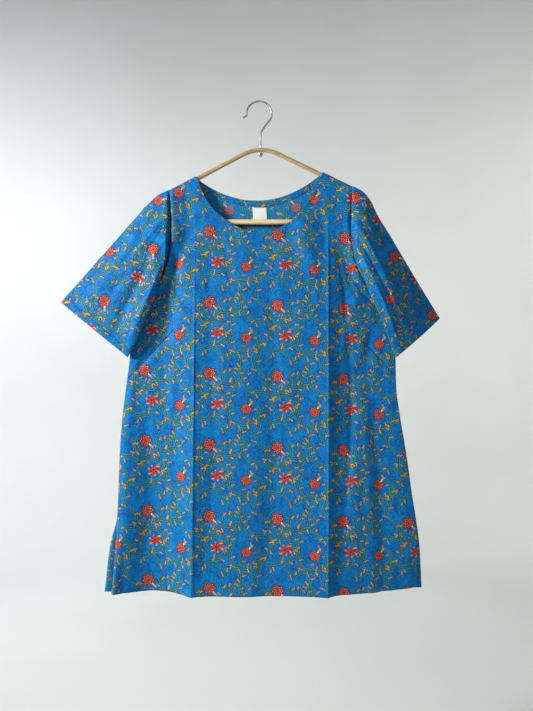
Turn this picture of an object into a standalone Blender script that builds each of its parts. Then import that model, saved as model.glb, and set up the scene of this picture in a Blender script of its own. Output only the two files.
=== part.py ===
"""Short-sleeved A-line tunic top of thin cotton, hanging on a bent wood hanger with a wire hook.

Metres, +Z up, the front faces -Y. The origin is the inside of the hook's crown, where the hanger hangs.
Heights are given as a drop, the distance below the origin. Distances across are from the hook's shank.
"""

import math
from collections import namedtuple

import bmesh
import bpy
from mathutils import Vector

MM = 0.001

# The cloth
CLOTH = 1.2 * MM  # thickness of a wall
SEAM_GAP = 0.3 * MM  # between two pieces that are sewn together
LAID_GAP = 0.3 * MM  # between a panel and what lies on it
FACING_CLOTH = 1.0 * MM

# The hanger
SHANK_X = 2.5 * MM  # the shank stands this far to the side of the crown
WIRE_RADIUS = 1.7 * MM
ROD_RADIUS = 4.0 * MM
BAR_RADIUS = 5.2 * MM
BAR_DROP = 0.2336
ROD_PEAK_DROP = 0.0945
ROD_END_X = 0.200
LEFT_ARM_SLOPE = 0.527
RIGHT_ARM_SLOPE = 0.485
ARM_X = 0.120  # where each arm's drop is given
LEFT_ARM_DROP = 0.1477
RIGHT_ARM_DROP = 0.1422

# The neck, the shoulders and the armholes
LEFT_NECK_X = -0.127
RIGHT_NECK_X = 0.121
LEFT_SHOULDER_X = -0.177
RIGHT_SHOULDER_X = 0.178
UNDERARM_DROP = 0.405
ARMHOLE_BOW = 0.005  # how far the armhole bows in towards the chest
ARMHOLE_POWER = 4  # how late it turns out to the underarm

# The neckline, in millimetres below the line between the neck points, at a share of the way across.
Neck = namedtuple("Neck", "share front back")
NECKLINE = (
    Neck(0.00, 0.0, 0.0),
    Neck(0.02, 6.5, 3.0),
    Neck(0.055, 30.0, 10.0),
    Neck(0.11, 54.5, 19.0),
    Neck(0.17, 72.5, 27.5),
    Neck(0.28, 94.0, 39.0),
    Neck(0.40, 108.5, 46.5),
    Neck(0.52, 111.7, 48.5),
    Neck(0.64, 107.5, 45.0),
    Neck(0.745, 95.5, 37.0),
    Neck(0.82, 78.0, 29.0),
    Neck(0.89, 54.0, 19.0),
    Neck(0.96, 24.0, 7.5),
    Neck(1.00, 0.0, 0.0),
)

# The hem
FRONT_HEM_DROP = 0.9545
BACK_HEM_DROP = 0.9580
LEFT_HEM_RISE = 0.002
RIGHT_HEM_RISE = 0.0045

# The back neck's facing and the label under it
FACING_WIDTH = 0.0125
FACING_ENDS = (1.10, 1.90)
LABEL_WIDTH = 0.027
LABEL_HEIGHT = 0.030
LABEL_TOP_DROP = 0.2035

# The grids
ZONE_COLUMNS = 9
NECK_COLUMNS = 16
NECK_STEP = 0.0025  # the first step from a neck point, where the neckline drops off the arm
YOKE_ROWS = 13
SKIRT_ROWS = 17
WRAP_DROPS = (0.0, 0.2 * MM, 1.2 * MM, 3.2 * MM, 6.5 * MM)  # the rows that bend over the hanger's arm
SLEEVE_RINGS = 14

# The outer edges of the two panels, from the underarm to the hem. Front and back part below the slit's top.
Edge = namedtuple("Edge", "drop left_front left_back right_front right_back")
EDGES = (
    Edge(0.405, -0.2500, -0.2500, 0.2580, 0.2580),
    Edge(0.495, -0.2545, -0.2545, 0.2630, 0.2630),
    Edge(0.555, -0.2620, -0.2620, 0.2645, 0.2645),
    Edge(0.612, -0.2690, -0.2690, 0.2720, 0.2720),
    Edge(0.662, -0.2730, -0.2730, 0.2805, 0.2805),
    Edge(0.713, -0.2755, -0.2755, 0.2885, 0.2885),
    Edge(0.763, -0.2770, -0.2770, 0.2955, 0.2955),
    Edge(0.805, -0.2790, -0.2795, 0.3025, 0.3028),
    Edge(0.864, -0.2820, -0.2940, 0.3095, 0.3120),
    Edge(0.955, -0.2870, -0.3050, 0.3125, 0.3195),
)

# The press creases, from the neck points to the hem.
Crease = namedtuple("Crease", "drop left right")
CREASES = (
    Crease(0.140, -0.1270, 0.1210),
    Crease(0.260, -0.1260, 0.1310),
    Crease(0.600, -0.1280, 0.1320),
    Crease(0.955, -0.1310, 0.1285),
)

# The lines that shape a panel. across is 0 at the left edge, 1 and 2 at the creases, 3 at the right edge.
# The other columns are depths in millimetres at six levels, less than 0 towards the viewer.
LEVEL_DROPS = (0.19, 0.25, 0.40, 0.60, 0.80, 0.955)
Fold = namedtuple("Fold", "name across sharp yoke bar chest waist hip hem")
FRONT_FOLDS = (
    Fold("left_edge", 0.00, False, -7.6, -7.6, -1.4, -1.4, -2.0, -15.0),
    Fold("left_side", 0.14, False, -8.0, -8.0, -5.0, -8.0, -9.0, -9.0),
    Fold("left_hollow", 0.50, False, -8.5, -8.5, -10.0, -9.0, -5.0, -0.5),
    Fold("left_crease", 1.00, True, -8.5, -9.5, -15.0, -22.0, -27.0, -30.0),
    Fold("left_face", 1.16, False, -8.5, -9.0, -13.5, -17.5, -20.0, -22.0),
    Fold("left_swell", 1.42, False, -9.0, -9.5, -15.0, -20.0, -23.5, -25.5),
    Fold("centre_hollow", 1.58, False, -9.0, -9.0, -13.0, -16.0, -18.0, -20.0),
    Fold("right_crease", 2.00, True, -8.5, -9.5, -15.0, -22.0, -27.0, -30.0),
    Fold("right_turn", 2.20, False, -8.5, -8.5, -12.0, -13.0, -13.5, -15.0),
    Fold("right_shelf", 2.46, False, -8.0, -8.5, -11.0, -12.0, -11.0, -9.0),
    Fold("right_hollow", 2.64, False, -8.0, -8.0, -9.0, -5.5, -2.0, 1.0),
    Fold("right_side", 2.84, False, -8.0, -8.0, -6.0, -6.0, -3.0, 6.0),
    Fold("right_edge", 3.00, False, -7.6, -7.6, -1.4, -1.4, 1.5, 14.0),
)
BACK_FOLDS = (
    Fold("left_edge", 0.00, False, 7.6, 7.6, 1.4, 1.4, 3.0, 4.0),
    Fold("left_side", 0.20, False, 8.0, 8.0, 8.0, 9.0, 12.0, 13.0),
    Fold("left_swell", 0.55, False, 9.0, 9.0, 11.0, 13.0, 17.0, 20.0),
    Fold("left_crease", 1.00, True, 9.0, 9.5, 12.0, 17.0, 22.0, 25.0),
    Fold("left_face", 1.20, False, 9.0, 9.0, 10.5, 13.0, 16.0, 18.0),
    Fold("centre_swell", 1.50, False, 9.0, 9.0, 11.0, 14.0, 18.0, 21.0),
    Fold("right_face", 1.80, False, 9.0, 9.0, 10.5, 13.0, 16.0, 18.0),
    Fold("right_crease", 2.00, True, 9.0, 9.5, 12.0, 17.0, 22.0, 26.0),
    Fold("right_swell", 2.45, False, 9.0, 9.0, 11.0, 14.0, 18.0, 24.0),
    Fold("right_side", 2.80, False, 8.0, 8.0, 8.0, 10.0, 15.0, 25.0),
    Fold("right_edge", 3.00, False, 7.6, 7.6, 1.4, 1.4, 4.6, 20.0),
)

# The sleeves, a row for each section in millimetres: the crown is the outer fold, the fold is the edge that
# lies over the chest, and under is the underarm seam. The swells are how far front and back round out.
Section = namedtuple(
    "Section",
    "reach crown_x crown_y crown_drop fold_x fold_y fold_drop under_x under_y under_drop front_swell back_swell",
)
LEFT_SLEEVE = (
    Section(0.08, -197, 0, 179.5, -192, -15, 346, -257, -3, 413, 5, 6),
    Section(0.20, -216, 0, 195.5, -199, -18, 372, -258, -8, 424, 7, 9),
    Section(0.36, -243, 0, 224.5, -210, -21, 402, -258, -10, 437, 7, 11),
    Section(0.52, -279, 0, 265.5, -222, -21, 432, -258, -10, 451, 7, 11),
    Section(0.68, -316, 0, 307.0, -234, -19, 461, -259, -8, 467, 7, 10),
    Section(0.84, -352, 0, 348.0, -246, -15, 482, -260, -4, 482, 7, 9),
    Section(1.00, -389, 0, 389.5, -256, -10, 497, -262, 2, 495, 6, 8),
)
RIGHT_SLEEVE = (
    Section(0.08, 199, 1, 173.5, 196, -15, 330, 265, -3, 413, 5, 6),
    Section(0.20, 214, 2, 190.5, 201, -19, 352, 266, -8, 424, 8, 10),
    Section(0.36, 229, 5, 219.0, 212, -23, 382, 267, -10, 438, 10, 14),
    Section(0.52, 254, 10, 257.0, 226, -25, 414, 267, -10, 452, 12, 17),
    Section(0.68, 287, 17, 309.0, 239, -24, 446, 268, -8, 467, 13, 19),
    Section(0.84, 322, 25, 363.0, 250, -20, 476, 270, -3, 482, 13, 19),
    Section(1.00, 359, 33, 419.0, 260, -15, 498, 269, 4, 495, 12, 18),
)
FRONT_FADE = 0.5  # reach at which a section no longer follows the armhole, in front
BACK_FADE = 0.25
ARMHOLE_SHIFT = 0.5 * MM  # the sleeve's edge stands this far outside the panels' edges
COLLAR_WIDTH = 3.5 * MM  # the sleeve leaves the armhole square to it as far as this
CROWN_RADIUS = 3.0 * MM  # of the sleeve's outer fold
FOLD_ROW = 10  # the row of the armhole, of YOKE_ROWS, where the sleeve's fold over the chest starts

COTTON_BLUE = (0.02, 0.16, 0.50)
LABEL_WHITE = (0.82, 0.82, 0.80)
WOOD_TAN = (0.62, 0.43, 0.22)
BAR_PALE = (0.74, 0.60, 0.42)
ZINC_GREY = (0.62, 0.64, 0.66)


def clear_scene():
    for old in list(bpy.data.objects):
        bpy.data.objects.remove(old, do_unlink=True)


def material(name, colour, roughness, metallic=0.0):
    made = bpy.data.materials.new(name)
    made.use_nodes = True
    shader = made.node_tree.nodes["Principled BSDF"]
    shader.inputs["Base Color"].default_value = (*colour, 1.0)
    shader.inputs["Roughness"].default_value = roughness
    shader.inputs["Metallic"].default_value = metallic
    return made


def mix(a, b, share):
    return a + (b - a) * share


def smooth_at(stations, values, place):
    """The value at a place on a smooth curve through the values, which doesn't swing past any of them."""
    last = len(stations) - 1
    place = min(max(place, stations[0]), stations[last])
    low = max(i for i in range(last) if stations[i] <= place)
    step = stations[low + 1] - stations[low]
    share = (place - stations[low]) / step
    steepness = [(values[i + 1] - values[i]) / (stations[i + 1] - stations[i]) for i in range(last)]

    def slope(i):
        before, after = steepness[max(i - 1, 0)], steepness[min(i, last - 1)]
        if before * after <= 0:
            return 0.0
        return 2 * before * after / (before + after)

    square, cube = share**2, share**3
    return (
        values[low] * (2 * cube - 3 * square + 1)
        + values[low + 1] * (3 * square - 2 * cube)
        + slope(low) * step * (cube - 2 * square + share)
        + slope(low + 1) * step * (cube - square)
    )


def column(table, name):
    return [getattr(row, name) for row in table]


def rod_drop(x):
    """Drop of the rod's centre line under the shoulders."""
    if x < 0:
        return LEFT_ARM_DROP + LEFT_ARM_SLOPE * (-ARM_X - x)
    return RIGHT_ARM_DROP + RIGHT_ARM_SLOPE * (x - ARM_X)


def shoulder_drop(x):
    """Drop of the cloth's outer face where it lies over an arm of the hanger."""
    slope = LEFT_ARM_SLOPE if x < 0 else RIGHT_ARM_SLOPE
    over = ROD_RADIUS + LAID_GAP + CLOTH
    return rod_drop(x) - over * math.hypot(1, slope)


def neck_drop(x, is_front):
    """Drop of the neckline: a scoop in front, a shallow bow behind."""
    share = (x - LEFT_NECK_X) / (RIGHT_NECK_X - LEFT_NECK_X)
    base = mix(shoulder_drop(LEFT_NECK_X), shoulder_drop(RIGHT_NECK_X), share)
    depths = column(NECKLINE, "front" if is_front else "back")
    return base + smooth_at(column(NECKLINE, "share"), depths, share) * MM


def armhole_x(side, share):
    """Edge of a panel at a share of the way down the armhole. side is -1 on the left and 1 on the right."""
    start = LEFT_SHOULDER_X if side < 0 else RIGHT_SHOULDER_X
    end = EDGES[0].left_front if side < 0 else EDGES[0].right_front
    return start - side * ARMHOLE_BOW * math.sin(math.pi * share) + (end - start) * share**ARMHOLE_POWER


def armhole_start(side):
    return shoulder_drop(LEFT_SHOULDER_X if side < 0 else RIGHT_SHOULDER_X)


def edge_x(side, drop, is_front):
    """Outer edge of a panel: the armhole, then the side seam and the slit."""
    if drop < UNDERARM_DROP:
        start = armhole_start(side)
        return armhole_x(side, max(0.0, (drop - start) / (UNDERARM_DROP - start)))
    name = ("left_" if side < 0 else "right_") + ("front" if is_front else "back")
    return smooth_at(column(EDGES, "drop"), column(EDGES, name), drop)


def place_across(across, drop, is_front):
    """x of a line of the panel, which keeps its share of the width between edges and creases."""
    marks = (
        edge_x(-1, drop, is_front),
        smooth_at(column(CREASES, "drop"), column(CREASES, "left"), drop),
        smooth_at(column(CREASES, "drop"), column(CREASES, "right"), drop),
        edge_x(1, drop, is_front),
    )
    zone = min(int(across), 2)
    return mix(marks[zone], marks[zone + 1], across - zone)


def top_drop(across, is_front):
    """Drop of the panel's top edge: the shoulder seams and the neckline between them."""
    if 1 < across < 2:
        return neck_drop(top_x(across), is_front)
    return shoulder_drop(top_x(across))


def hem_drop(across, is_front):
    level = FRONT_HEM_DROP if is_front else BACK_HEM_DROP
    left = LEFT_HEM_RISE * max(0.0, 1 - across) ** 2
    right = RIGHT_HEM_RISE * max(0.0, across - 2) ** 2
    return level - left - right


def share_between(share, leaves_sharp, meets_sharp):
    """Share of the way from one fold line to the next: level at a soft line and sloping at a sharp one."""
    if leaves_sharp and meets_sharp:
        return share
    if leaves_sharp:
        return 1 - (1 - share) ** 2
    if meets_sharp:
        return share**2
    return share**2 * (3 - 2 * share)


def fold_depth(folds, across, drop):
    """Depth of a panel at a place, from the fold lines on either side of it."""
    depths = [smooth_at(LEVEL_DROPS, fold[3:], drop) * MM for fold in folds]
    low = max(i for i in range(len(folds) - 1) if folds[i].across <= across)
    share = (across - folds[low].across) / (folds[low + 1].across - folds[low].across)
    eased = share_between(share, folds[low].sharp, folds[low + 1].sharp)
    return mix(depths[low], depths[low + 1], eased)


def wrap(across, drop):
    """How far round the hanger's arm the cloth has come, 0 on top of it and 1 beside it."""
    over = ROD_RADIUS + LAID_GAP + CLOTH
    rise = min(max(1 - (drop - shoulder_drop(top_x(across))) / over, 0.0), 1.0)
    return math.sqrt(1 - rise**2)


def top_x(across):
    """x of the panel's top edge, which front and back share."""
    marks = (LEFT_SHOULDER_X, LEFT_NECK_X, RIGHT_NECK_X, RIGHT_SHOULDER_X)
    zone = min(int(across), 2)
    return mix(marks[zone], marks[zone + 1], across - zone)


def panel_x(across, drop, is_front):
    """x of a place on the panel. It leans from the top edge's own x into the lines between the creases."""
    top = top_drop(across, is_front)
    lean = min(max(1 - (drop - top) / (UNDERARM_DROP - top), 0.0), 1.0)
    return place_across(across, drop, is_front) + (top_x(across) - place_across(across, top, is_front)) * lean


def panel_point(across, drop, is_front):
    """A point of the panel's outer face."""
    folds = FRONT_FOLDS if is_front else BACK_FOLDS
    seam = (-SEAM_GAP if is_front else SEAM_GAP) / 2
    depth = mix(seam, fold_depth(folds, across, drop), wrap(across, drop))
    return Vector((panel_x(across, drop, is_front), depth, -drop))


def panel_columns():
    """The across values of the grid's columns, closer together at the creases."""
    zone = [i / ZONE_COLUMNS for i in range(ZONE_COLUMNS)]
    neck = [(1 - math.cos(math.pi * i / NECK_COLUMNS)) / 2 for i in range(1, NECK_COLUMNS)]
    neck = [0.0, NECK_STEP, *neck, 1 - NECK_STEP]
    return zone + [1 + share for share in neck] + [2 + share for share in zone] + [3.0]


def column_drops(across, is_front):
    """The drops of one column's points: over the arm, down to the underarm, and down to the hem."""
    top = top_drop(across, is_front)
    yoke = [mix(top + WRAP_DROPS[-1], UNDERARM_DROP, i / YOKE_ROWS) for i in range(1, YOKE_ROWS)]
    hem = hem_drop(across, is_front)
    skirt = [mix(UNDERARM_DROP, hem, i / SKIRT_ROWS) for i in range(SKIRT_ROWS + 1)]
    return [top + wrapped for wrapped in WRAP_DROPS] + yoke + skirt


def cloth_object(name, rows, finish, thickness, closed=False):
    """A sheet through rows of outer points, made a wall by Solidify, which adds the thickness inside."""
    mesh = bpy.data.meshes.new(name)
    shape = bmesh.new()
    bmesh.ops.create_grid(shape, x_segments=len(rows[0]) - 1, y_segments=len(rows) - 1, size=1)
    shape.verts.ensure_lookup_table()
    for vert, point in zip(shape.verts, (point for row in rows for point in row)):
        vert.co = point
    if closed:
        bmesh.ops.remove_doubles(shape, verts=shape.verts, dist=0.01 * MM)
    for face in shape.faces:
        face.smooth = True
    shape.to_mesh(mesh)
    shape.free()
    made = bpy.data.objects.new(name, mesh)
    made.location.x = SHANK_X
    bpy.context.scene.collection.objects.link(made)
    mesh.materials.append(finish)
    wall = made.modifiers.new("Wall", "SOLIDIFY")
    wall.thickness = thickness
    wall.offset = -1
    return made


def build_panel(name, is_front, finish):
    columns = panel_columns()
    if is_front:
        columns.reverse()
    points = [
        [panel_point(across, drop, is_front) for drop in column_drops(across, is_front)] for across in columns
    ]
    return cloth_object(name, list(zip(*points)), finish, CLOTH)


def armhole_shares(side):
    """The shares down the armhole at which the panels have rows, from the shoulder to the underarm."""
    length = UNDERARM_DROP - armhole_start(side)
    wrapped = [below / length for below in WRAP_DROPS]
    return wrapped + [mix(wrapped[-1], 1.0, i / YOKE_ROWS) for i in range(1, YOKE_ROWS + 1)]


def armhole_point(side, share, is_front, out):
    """A point outside the panel's edge and square to it, at a share down the armhole."""
    across = 0.0 if side < 0 else 3.0
    drop = mix(armhole_start(side), UNDERARM_DROP, share)
    point = panel_point(across, drop, is_front)
    along = panel_point(across, drop - 1 * MM, is_front) - point
    point += Vector((side * along.z, 0, -side * along.x)).normalized() * out
    if share in (0.0, 1.0):
        point.y = 0.0
    return point


def sleeve_line(side, reach, name, start):
    """A point of one of a sleeve's three guide lines, which leaves the collar at the start point."""
    table = LEFT_SLEEVE if side < 0 else RIGHT_SLEEVE
    reaches = [0.0] + column(table, "reach")
    parts = zip(start, ("_x", "_y", "_drop"), (MM, MM, -MM))
    return Vector([
        smooth_at(reaches, [first] + [value * scale for value in column(table, name + part)], reach)
        for first, part, scale in parts
    ])


def sleeve_swell(side, reach, name):
    table = LEFT_SLEEVE if side < 0 else RIGHT_SLEEVE
    return smooth_at([0.0] + column(table, "reach"), [0.0] + column(table, name), reach) * MM


def sleeve_point(side, reach, share, is_front):
    """A point of the sleeve's outer face, at a reach from the collar, 0, to the cuff, 1.

    A section goes from the crown forwards to the fold, over the chest to the underarm seam, and back to the
    crown behind. Near the body it keeps the armhole's curve, which fades outwards.
    """
    fold_share = armhole_shares(side)[len(WRAP_DROPS) - 1 + FOLD_ROW]
    if not is_front:
        ends, swell = (("crown", 0.0), ("under", 1.0)), sleeve_swell(side, reach, "back_swell")
    elif share <= fold_share:
        ends, swell = (("crown", 0.0), ("fold", fold_share)), -sleeve_swell(side, reach, "front_swell")
    else:
        ends, swell = (("fold", fold_share), ("under", 1.0)), 0.0
    place = (share - ends[0][1]) / (ends[1][1] - ends[0][1])
    starts = [armhole_point(side, end[1], is_front, COLLAR_WIDTH) for end in ends]
    lines = [sleeve_line(side, reach, end[0], start) for end, start in zip(ends, starts)]
    point = mix(*lines, place)
    curve = armhole_point(side, share, is_front, COLLAR_WIDTH) - mix(*starts, place)
    point += curve * max(0.0, 1 - reach / (FRONT_FADE if is_front else BACK_FADE)) ** 2
    point.y += swell * max(0.0, math.sin(math.pi * place)) ** 0.6
    if swell:
        near = max(0.0, 1 - share * (UNDERARM_DROP - armhole_start(side)) / CROWN_RADIUS)
        level = (1 - place) * min(reach / BACK_FADE, 1.0)
        point.y += math.copysign(CROWN_RADIUS, swell) * math.sqrt(1 - near**2) * level
    return point


def build_sleeve(name, side, finish):
    shares = armhole_shares(side)
    turns = [(share, True) for share in shares[:-1]] + [(share, False) for share in reversed(shares)]
    if side < 0:
        turns.reverse()
    rows = [[armhole_point(side, *turn, ARMHOLE_SHIFT) for turn in turns]]
    for ring in range(SLEEVE_RINGS):
        reach = (ring / (SLEEVE_RINGS - 1)) ** 1.25
        rows.append([sleeve_point(side, reach, *turn) for turn in turns])
    return cloth_object(name, rows, finish, CLOTH, closed=True)


def inside_back(across, drop, lift):
    """A point inside the back panel, lifted off its inner face towards the front."""
    point = panel_point(across, drop, False)
    right = panel_point(across + 0.02, drop, False) - point
    down = panel_point(across, drop + 1 * MM, False) - point
    return point + down.cross(right).normalized() * (CLOTH + lift)


def build_facing(finish):
    """The strip that finishes the back neck, on the inner face along the neckline."""
    count = 20
    rows = []
    for row in (0.0, 0.5, 1.0):
        points = []
        for i in range(count + 1):
            across = mix(*FACING_ENDS, i / count)
            drop = top_drop(across, False) + LAID_GAP + row * FACING_WIDTH
            points.append(inside_back(across, drop, LAID_GAP + FACING_CLOTH))
        rows.append(points[::-1])
    return cloth_object("back_neck_facing", rows, finish, FACING_CLOTH)


def build_label(finish):
    """The blank label under the facing, at the middle of the back."""
    centre = 1.5
    half = LABEL_WIDTH / 2 / (RIGHT_NECK_X - LEFT_NECK_X)
    rows = []
    for row in range(4):
        drop = LABEL_TOP_DROP + LABEL_HEIGHT * row / 3
        acrosses = [centre + half, centre, centre - half]
        rows.append([inside_back(across, drop, LAID_GAP + FACING_CLOTH) for across in acrosses])
    return cloth_object("label", rows, finish, FACING_CLOTH)


def rounded_path(corners, steps=6):
    """A path of points through corners (x, drop, radius), each corner rounded to its radius."""
    points = [Vector((corners[0][0], 0, -corners[0][1]))]
    for before, corner, after in zip(corners, corners[1:], corners[2:]):
        here = Vector((corner[0], 0, -corner[1]))
        to_before = (Vector((before[0], 0, -before[1])) - here).normalized()
        to_after = (Vector((after[0], 0, -after[1])) - here).normalized()
        half = to_before.angle(to_after) / 2
        reach = corner[2] / math.tan(half)
        centre = here + (to_before + to_after).normalized() * (corner[2] / math.sin(half))
        start = (here + to_before * reach - centre).normalized()
        end = (here + to_after * reach - centre).normalized()
        for i in range(steps + 1):
            points.append(centre + start.slerp(end, i / steps) * corner[2])
    points.append(Vector((corners[-1][0], 0, -corners[-1][1])))
    return points


def tube(name, points, radius, finish, sides=3):
    """A round bar along a path, with filled ends."""
    curve = bpy.data.curves.new(name, "CURVE")
    curve.dimensions = "3D"
    curve.bevel_depth = radius
    curve.bevel_resolution = sides
    curve.use_fill_caps = True
    spline = curve.splines.new("POLY")
    spline.points.add(len(points) - 1)
    for target, point in zip(spline.points, points):
        target.co = (*point, 1.0)
    curve.materials.append(finish)
    made = bpy.data.objects.new(name, curve)
    made.location.x = SHANK_X
    bpy.context.scene.collection.objects.link(made)
    return made


def build_rod(finish):
    """The bent rod: two arms from a rounded peak, turned down at the shoulders to carry the bar."""
    corner_radius = 0.013
    peak_radius = 0.075
    foot_drop = BAR_DROP + BAR_RADIUS
    peak = (LEFT_ARM_DROP - LEFT_ARM_SLOPE * ARM_X + RIGHT_ARM_DROP - RIGHT_ARM_SLOPE * ARM_X) / 2
    corners = (
        (-ROD_END_X, foot_drop, 0),
        (-ROD_END_X, rod_drop(-ROD_END_X), corner_radius),
        (0.0, peak, peak_radius),
        (ROD_END_X, rod_drop(ROD_END_X), corner_radius),
        (ROD_END_X, foot_drop, 0),
    )
    bent = tube("hanger_rod_curve", rounded_path(corners), ROD_RADIUS, finish)
    graph = bpy.context.evaluated_depsgraph_get()
    mesh = bpy.data.meshes.new_from_object(bent.evaluated_get(graph))
    bpy.data.objects.remove(bent)
    rod = bpy.data.objects.new("hanger_rod", mesh)
    rod.location.x = SHANK_X
    bpy.context.scene.collection.objects.link(rod)
    hole = build_cutter(WIRE_RADIUS + SEAM_GAP, ROD_PEAK_DROP)
    weld = rod.modifiers.new("Weld", "WELD")
    weld.merge_threshold = 0.01 * MM
    cut = rod.modifiers.new("Shank hole", "BOOLEAN")
    cut.object = hole
    return rod


def build_cutter(radius, drop):
    """The drill that makes the shank's hole through the rod."""
    mesh = bpy.data.meshes.new("shank_drill")
    shape = bmesh.new()
    bmesh.ops.create_cone(
        shape, cap_ends=True, segments=12, radius1=radius, radius2=radius, depth=6 * ROD_RADIUS
    )
    shape.to_mesh(mesh)
    shape.free()
    drill = bpy.data.objects.new("shank_drill", mesh)
    drill.location = (SHANK_X, 0, -drop)
    drill.hide_render = True
    drill.display_type = "WIRE"
    bpy.context.scene.collection.objects.link(drill)
    return drill


def build_bar(finish):
    """The straight bar between the rod's feet."""
    half = ROD_END_X - ROD_RADIUS - SEAM_GAP
    ends = [Vector((x, 0, -BAR_DROP)) for x in (-half, half)]
    return tube("hanger_bar", ends, BAR_RADIUS, finish)


def hook_path():
    """The wire's centre line: the flicked tip, the crown's arc, and the bend down to the shank."""
    arc_radius = 0.0245
    centre = Vector((-SHANK_X, 0, WIRE_RADIUS - arc_radius))
    start_angle, end_angle, steps = math.radians(188), math.radians(-28), 18
    arc = []
    for i in range(steps + 1):
        angle = mix(start_angle, end_angle, i / steps)
        arc.append(centre + Vector((math.cos(angle), 0, math.sin(angle))) * arc_radius)
    tip = [Vector((-0.0343, 0, -0.0306)), Vector((-0.0300, 0, -0.0277))]
    bend = [Vector((x, 0, -drop)) for x, drop in ((0.0138, 0.0402), (0.0074, 0.0488), (0.0022, 0.0566))]
    shank = [Vector((x, 0, -drop)) for x, drop in ((0.0004, 0.0630), (0.0, 0.0700))]
    foot = [Vector((0, 0, -(ROD_PEAK_DROP + ROD_RADIUS)))]
    return tip + arc + bend + shank + foot


def build_nut(finish):
    """The domed nut under the rod, turned from its outline."""
    top = ROD_PEAK_DROP + ROD_RADIUS + SEAM_GAP + 0.6 * MM
    outline = ((0.0, 0.0), (4.6, 0.0), (5.0, 0.6), (5.0, 1.8), (4.4, 4.4), (2.6, 6.4), (0.0, 7.2))
    mesh = bpy.data.meshes.new("hanger_nut")
    shape = bmesh.new()
    verts = [shape.verts.new((radius * MM, 0, -top - down * MM)) for radius, down in outline]
    edges = [shape.edges.new(pair) for pair in zip(verts, verts[1:])]
    bmesh.ops.spin(
        shape, geom=verts + edges, axis=(0, 0, 1), angle=2 * math.pi, steps=16, use_merge=True
    )
    bmesh.ops.remove_doubles(shape, verts=shape.verts, dist=0.01 * MM)
    bmesh.ops.recalc_face_normals(shape, faces=shape.faces)
    shape.to_mesh(mesh)
    shape.free()
    mesh.materials.append(finish)
    nut = bpy.data.objects.new("hanger_nut", mesh)
    nut.location.x = SHANK_X
    bpy.context.scene.collection.objects.link(nut)
    return nut


def build():
    clear_scene()
    cotton = material("cotton", COTTON_BLUE, 0.85)
    paper = material("label_tape", LABEL_WHITE, 0.8)
    wood = material("wood", WOOD_TAN, 0.5)
    bar_wood = material("bar_wood", BAR_PALE, 0.6)
    zinc = material("zinc", ZINC_GREY, 0.3, 1.0)
    build_panel("front_panel", True, cotton)
    build_panel("back_panel", False, cotton)
    build_sleeve("left_sleeve", -1, cotton)
    build_sleeve("right_sleeve", 1, cotton)
    build_facing(cotton)
    build_label(paper)
    build_rod(wood)
    build_bar(bar_wood)
    tube("hanger_hook", hook_path(), WIRE_RADIUS, zinc, sides=2)
    build_nut(zinc)


build()
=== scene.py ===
# %% [markdown]
# # A tunic top on a hanger
#
# This lesson dresses a short-sleeved cotton tunic that hangs on a thin bent wood hanger. The plain
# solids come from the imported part. Each piece of cloth is made again here as a thin shell on its
# solid's form, with its creases, its hems, its stitches and its printed pattern.

import math
from collections import namedtuple

import bmesh
import bpy
import numpy as np
from mathutils import Matrix, Vector


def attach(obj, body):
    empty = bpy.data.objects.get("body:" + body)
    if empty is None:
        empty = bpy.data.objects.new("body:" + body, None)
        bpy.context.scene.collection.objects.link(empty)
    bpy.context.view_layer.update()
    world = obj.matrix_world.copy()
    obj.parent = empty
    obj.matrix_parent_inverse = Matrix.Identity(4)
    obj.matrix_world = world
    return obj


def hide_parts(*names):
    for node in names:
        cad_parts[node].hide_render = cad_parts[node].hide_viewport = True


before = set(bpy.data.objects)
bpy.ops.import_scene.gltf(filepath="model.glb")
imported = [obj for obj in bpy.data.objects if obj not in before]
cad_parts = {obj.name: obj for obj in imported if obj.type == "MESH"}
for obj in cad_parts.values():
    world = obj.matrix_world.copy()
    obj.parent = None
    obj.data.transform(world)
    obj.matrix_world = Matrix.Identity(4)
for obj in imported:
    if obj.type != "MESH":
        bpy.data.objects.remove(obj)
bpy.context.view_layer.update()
MM = 0.001
print("nodes:", sorted(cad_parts))

# %% [markdown]
# ## Camera, light and room
#
# The photo was taken level with the middle of the top, from a little over a metre away. A wide bowl
# of pale plaster stands in for the floor and the walls, so that the top looks the same from every
# side. One big soft lamp on the left does most of the work, as a window does.

# %% Camera
CAMERA_DISTANCE = 1.15
VIEW_HEIGHT = 1.3864
scene = bpy.context.scene
scene.view_settings.view_transform = "Standard"
camera_data = bpy.data.cameras.new("camera")
camera_data.sensor_fit = "VERTICAL"
camera_data.sensor_height = 24
camera_data.lens = 24 * CAMERA_DISTANCE / VIEW_HEIGHT
camera = bpy.data.objects.new("camera", camera_data)
camera.location = (0.0142, -CAMERA_DISTANCE, -0.4937)
camera.rotation_euler = (math.pi / 2, 0, 0)
scene.collection.objects.link(camera)
scene.camera = camera
print("lens:", round(camera_data.lens, 1), "mm")

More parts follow.
